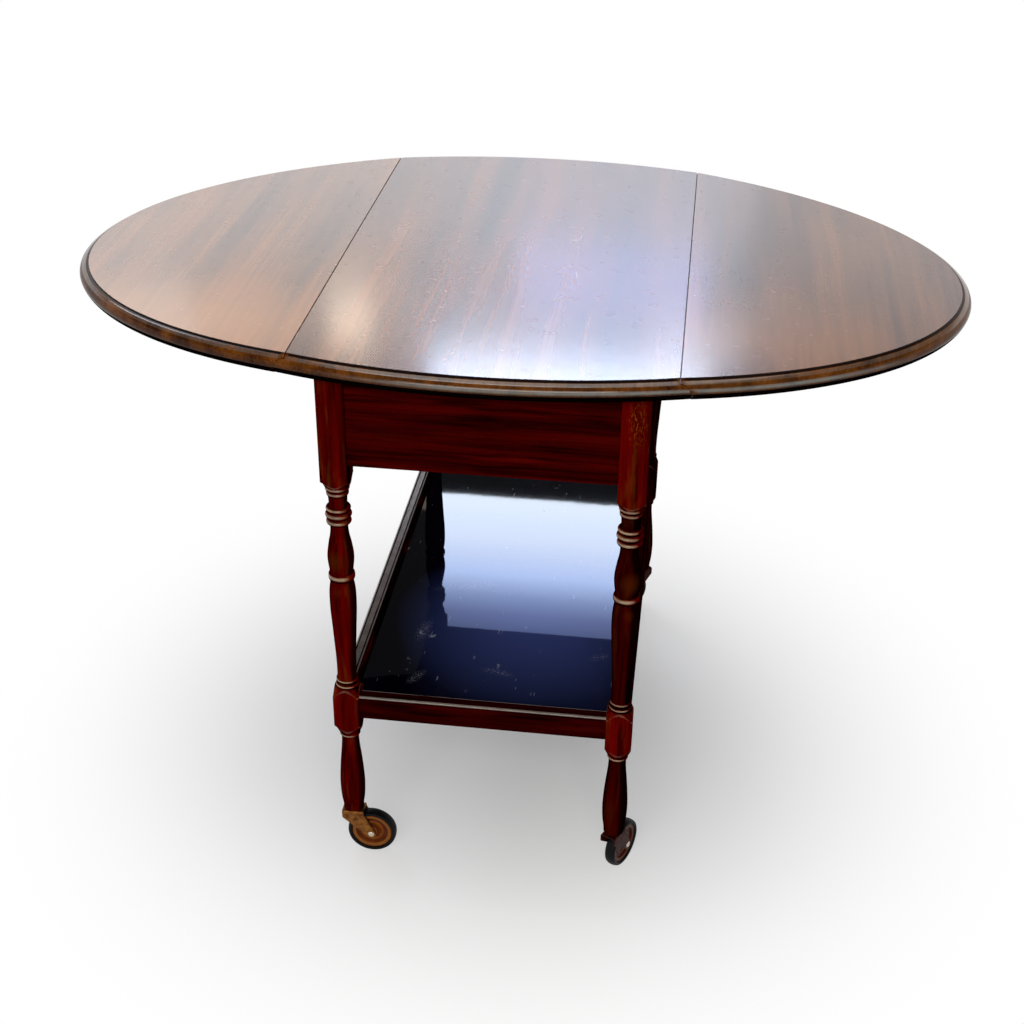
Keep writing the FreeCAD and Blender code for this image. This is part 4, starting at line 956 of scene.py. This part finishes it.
# each lamp has its place, what it points at, width, height, watts, colour and any grading from foot to head
lamps = {
    "overheadLamp": ((0.0, 1.1, 5.0), (0, 0, 0.4), 3.6, 3.6, 80, "#ffffff"),
    "overheadTube": ((-0.4, -0.3, 2.9), (-0.4, -0.3, 0), 1.4, 0.08, 5, "#ffffff"),
    "frontLamp": ((-0.1, -3.1, 2.3), (0, 0, 0.4), 2.4, 1.2, 44, "#fffaf4"),
    # a far window seen in the polish: white at the sill, blue and dim higher up
    "windowLamp": ((-0.36, 6.6, 4.8), (-0.36, 0.0, 4.8), 1.92, 1.6, 116, "#ffffff",
                   [(0.0, "#dfecfc"), (0.19, "#d6e4ff"), (0.36, "#b6cbf8"), (0.47, "#8093bb"),
                    (0.55, "#626e96"), (0.64, "#4a5674"), (0.77, "#26304f"), (1.0, "#040620")]),
    "lowWindowLamp": ((-0.14, 6.6, 3.5), (-0.14, 0.0, 3.5), 1.3, 0.46, 4.2, "#9aacff"),
    "sillLamp": ((0.4, 6.6, 3.86), (0.4, 0.0, 3.86), 0.76, 0.24, 1.4, "#e0ecff"),
    "curtainLamp": ((-2.15, 6.6, 3.82), (-2.15, 0.0, 3.82), 1.6, 0.62, 3.2, "#ffe4cc"),
    "backWallLamp": ((-1.3, 5.0, 2.3), (-1.3, 0.0, 2.3), 3.8, 0.9, 4.5, "#f0f6ff"),
    "leftWallLamp": ((-3.0, 5.0, 3.25), (-0.5, 0, 0.7), 1.2, 0.7, 3.7, "#fbf8ee"),
    "sideWindowLamp": ((-3.9, 5.0, 5.1), (0, 0, 0.5), 2.4, 1.6, 60, "#eef2ff"),
    "ceilingSpot": ((-1.79, 6.6, 3.82), (-0.2, -0.2, 0.7), 0.25, 0.25, 1.3, "#ffe8cc"),
}


def seenRays(tree):
    # 1 for what the camera sees, straight or in a reflection, and 0 for the light that falls on the trolley
    ray = addNode(tree, "LightPath")
    seen = ray.outputs["Is Camera Ray"]
    for kind in ("Is Glossy Ray", "Is Transmission Ray"):
        seen = addNode(tree, "Math", {0: seen, 1: ray.outputs[kind]}, operation="MAXIMUM").outputs[0]
    return seen


def paleFloor():
    material, tree = newMaterial("palePaintedFloor")
    seen = seenRays(tree)
    # the light that it throws up at the trolley is that of a mid grey floor
    bounce = addNode(tree, "Mix", {0: seen, 6: stage["floorBounce"], 7: stage["floorColour"]},
        data_type="RGBA").outputs[2]
    matt = addNode(tree, "BsdfDiffuse", {"Color": bounce})
    glow = addNode(tree, "Emission", {"Color": "#ffffff", "Strength": 1.0})
    # the floor runs out into the white background away from the trolley and keeps its shadow near it
    place = addNode(tree, "TexCoord").outputs["Object"]
    away = addNode(tree, "VectorMath", {0: place}, operation="LENGTH").outputs["Value"]
    fade = addNode(tree, "MapRange", {0: away, 1: stage["fadeStart"], 2: stage["fadeEnd"],
        3: stage["floorShow"], 4: 1.0}, interpolation_type="SMOOTHSTEP")
    share = addNode(tree, "Math", {0: seen, 1: fade}, operation="MULTIPLY")
    both = addNode(tree, "MixShader", {0: share, 1: matt, 2: glow})
    addNode(tree, "OutputMaterial", {"Surface": both})
    half = stage["floorSize"] / 2
    floor = meshPiece("floor", [(-half, -half, 0), (half, -half, 0), (half, half, 0), (-half, half, 0)],
        [(0, 1, 2, 3)], material)


def softLamp(name, place, target, width, height, power, colour, graded=None):
    lamp = bpy.data.lights.new(name, "AREA")
    lamp.shape, lamp.size, lamp.size_y, lamp.energy = "RECTANGLE", width, height, power
    lamp.color = linear(colour)[:3]
    holder = bpy.data.objects.new(name, lamp)
    bpy.context.scene.collection.objects.link(holder)
    holder.location = place
    holder.rotation_euler = (Vector(target) - Vector(place)).to_track_quat("-Z", "Y").to_euler()
    holder.visible_camera = False
    if graded:
        # light that changes from the foot of the lamp to its head
        lamp.use_nodes = True
        tree = lamp.node_tree
        tree.nodes.clear()
        across = addNode(tree, "NewGeometry").outputs["Parametric"]
        upward = addNode(tree, "SeparateXYZ", {0: across}).outputs[1]
        shades = addNode(tree, "ValToRGB", {0: upward}, stops=graded)
        glow = addNode(tree, "Emission", {"Color": shades, "Strength": 1.0})
        addNode(tree, "OutputLight", {"Surface": glow})


def paleWorld():
    world = bpy.data.worlds.new("paleRoom")
    bpy.context.scene.world = world
    world.use_nodes = True
    tree = world.node_tree
    tree.nodes.clear()
    # what a polished surface shows: white all round, and a darker ceiling higher up
    upward = addNode(tree, "SeparateXYZ", {0: addNode(tree, "TexCoord").outputs["Generated"]})
    ceiling = addNode(tree, "MapRange", {0: upward.outputs[2], 1: math.sin(math.radians(stage["ceilingFrom"])),
        2: math.sin(math.radians(stage["ceilingTo"])), 3: 1.0, 4: stage["ceilingDark"]},
        interpolation_type="SMOOTHSTEP")
    strength = addNode(tree, "Mix", {0: seenRays(tree), 2: stage["worldLight"], 3: ceiling}, data_type="FLOAT")
    shade = addNode(tree, "Background", {"Color": "#ffffff", "Strength": strength})
    addNode(tree, "OutputWorld", {"Surface": shade})


def setCamera():
    yaw, pitch, roll = (math.radians(stage[k]) for k in ("yaw", "pitch", "roll"))
    forward = Vector((math.sin(yaw) * math.cos(pitch), math.cos(yaw) * math.cos(pitch), -math.sin(pitch)))
    right = Vector((math.cos(yaw), -math.sin(yaw), 0))
    up = right.cross(forward)
    across = right * math.cos(roll) + up * math.sin(roll)
    upward = up * math.cos(roll) - right * math.sin(roll)
    data = bpy.data.cameras.new("camera")
    data.lens, data.sensor_width, data.clip_start, data.clip_end = stage["lens"], 36, 0.05, 60
    camera = bpy.data.objects.new("camera", data)
    bpy.context.scene.collection.objects.link(camera)
    turn = Matrix((across, upward, -forward)).transposed()
    camera.matrix_world = Matrix.Translation(stage["camera"]) @ turn.to_4x4()
    bpy.context.scene.camera = camera


paleFloor()
paleWorld()
for name, lamp in lamps.items():
    softLamp(name, *lamp)
setCamera()
bpy.context.scene.view_settings.view_transform = "Standard"
print("stage set")

bpy.context.view_layer.update()
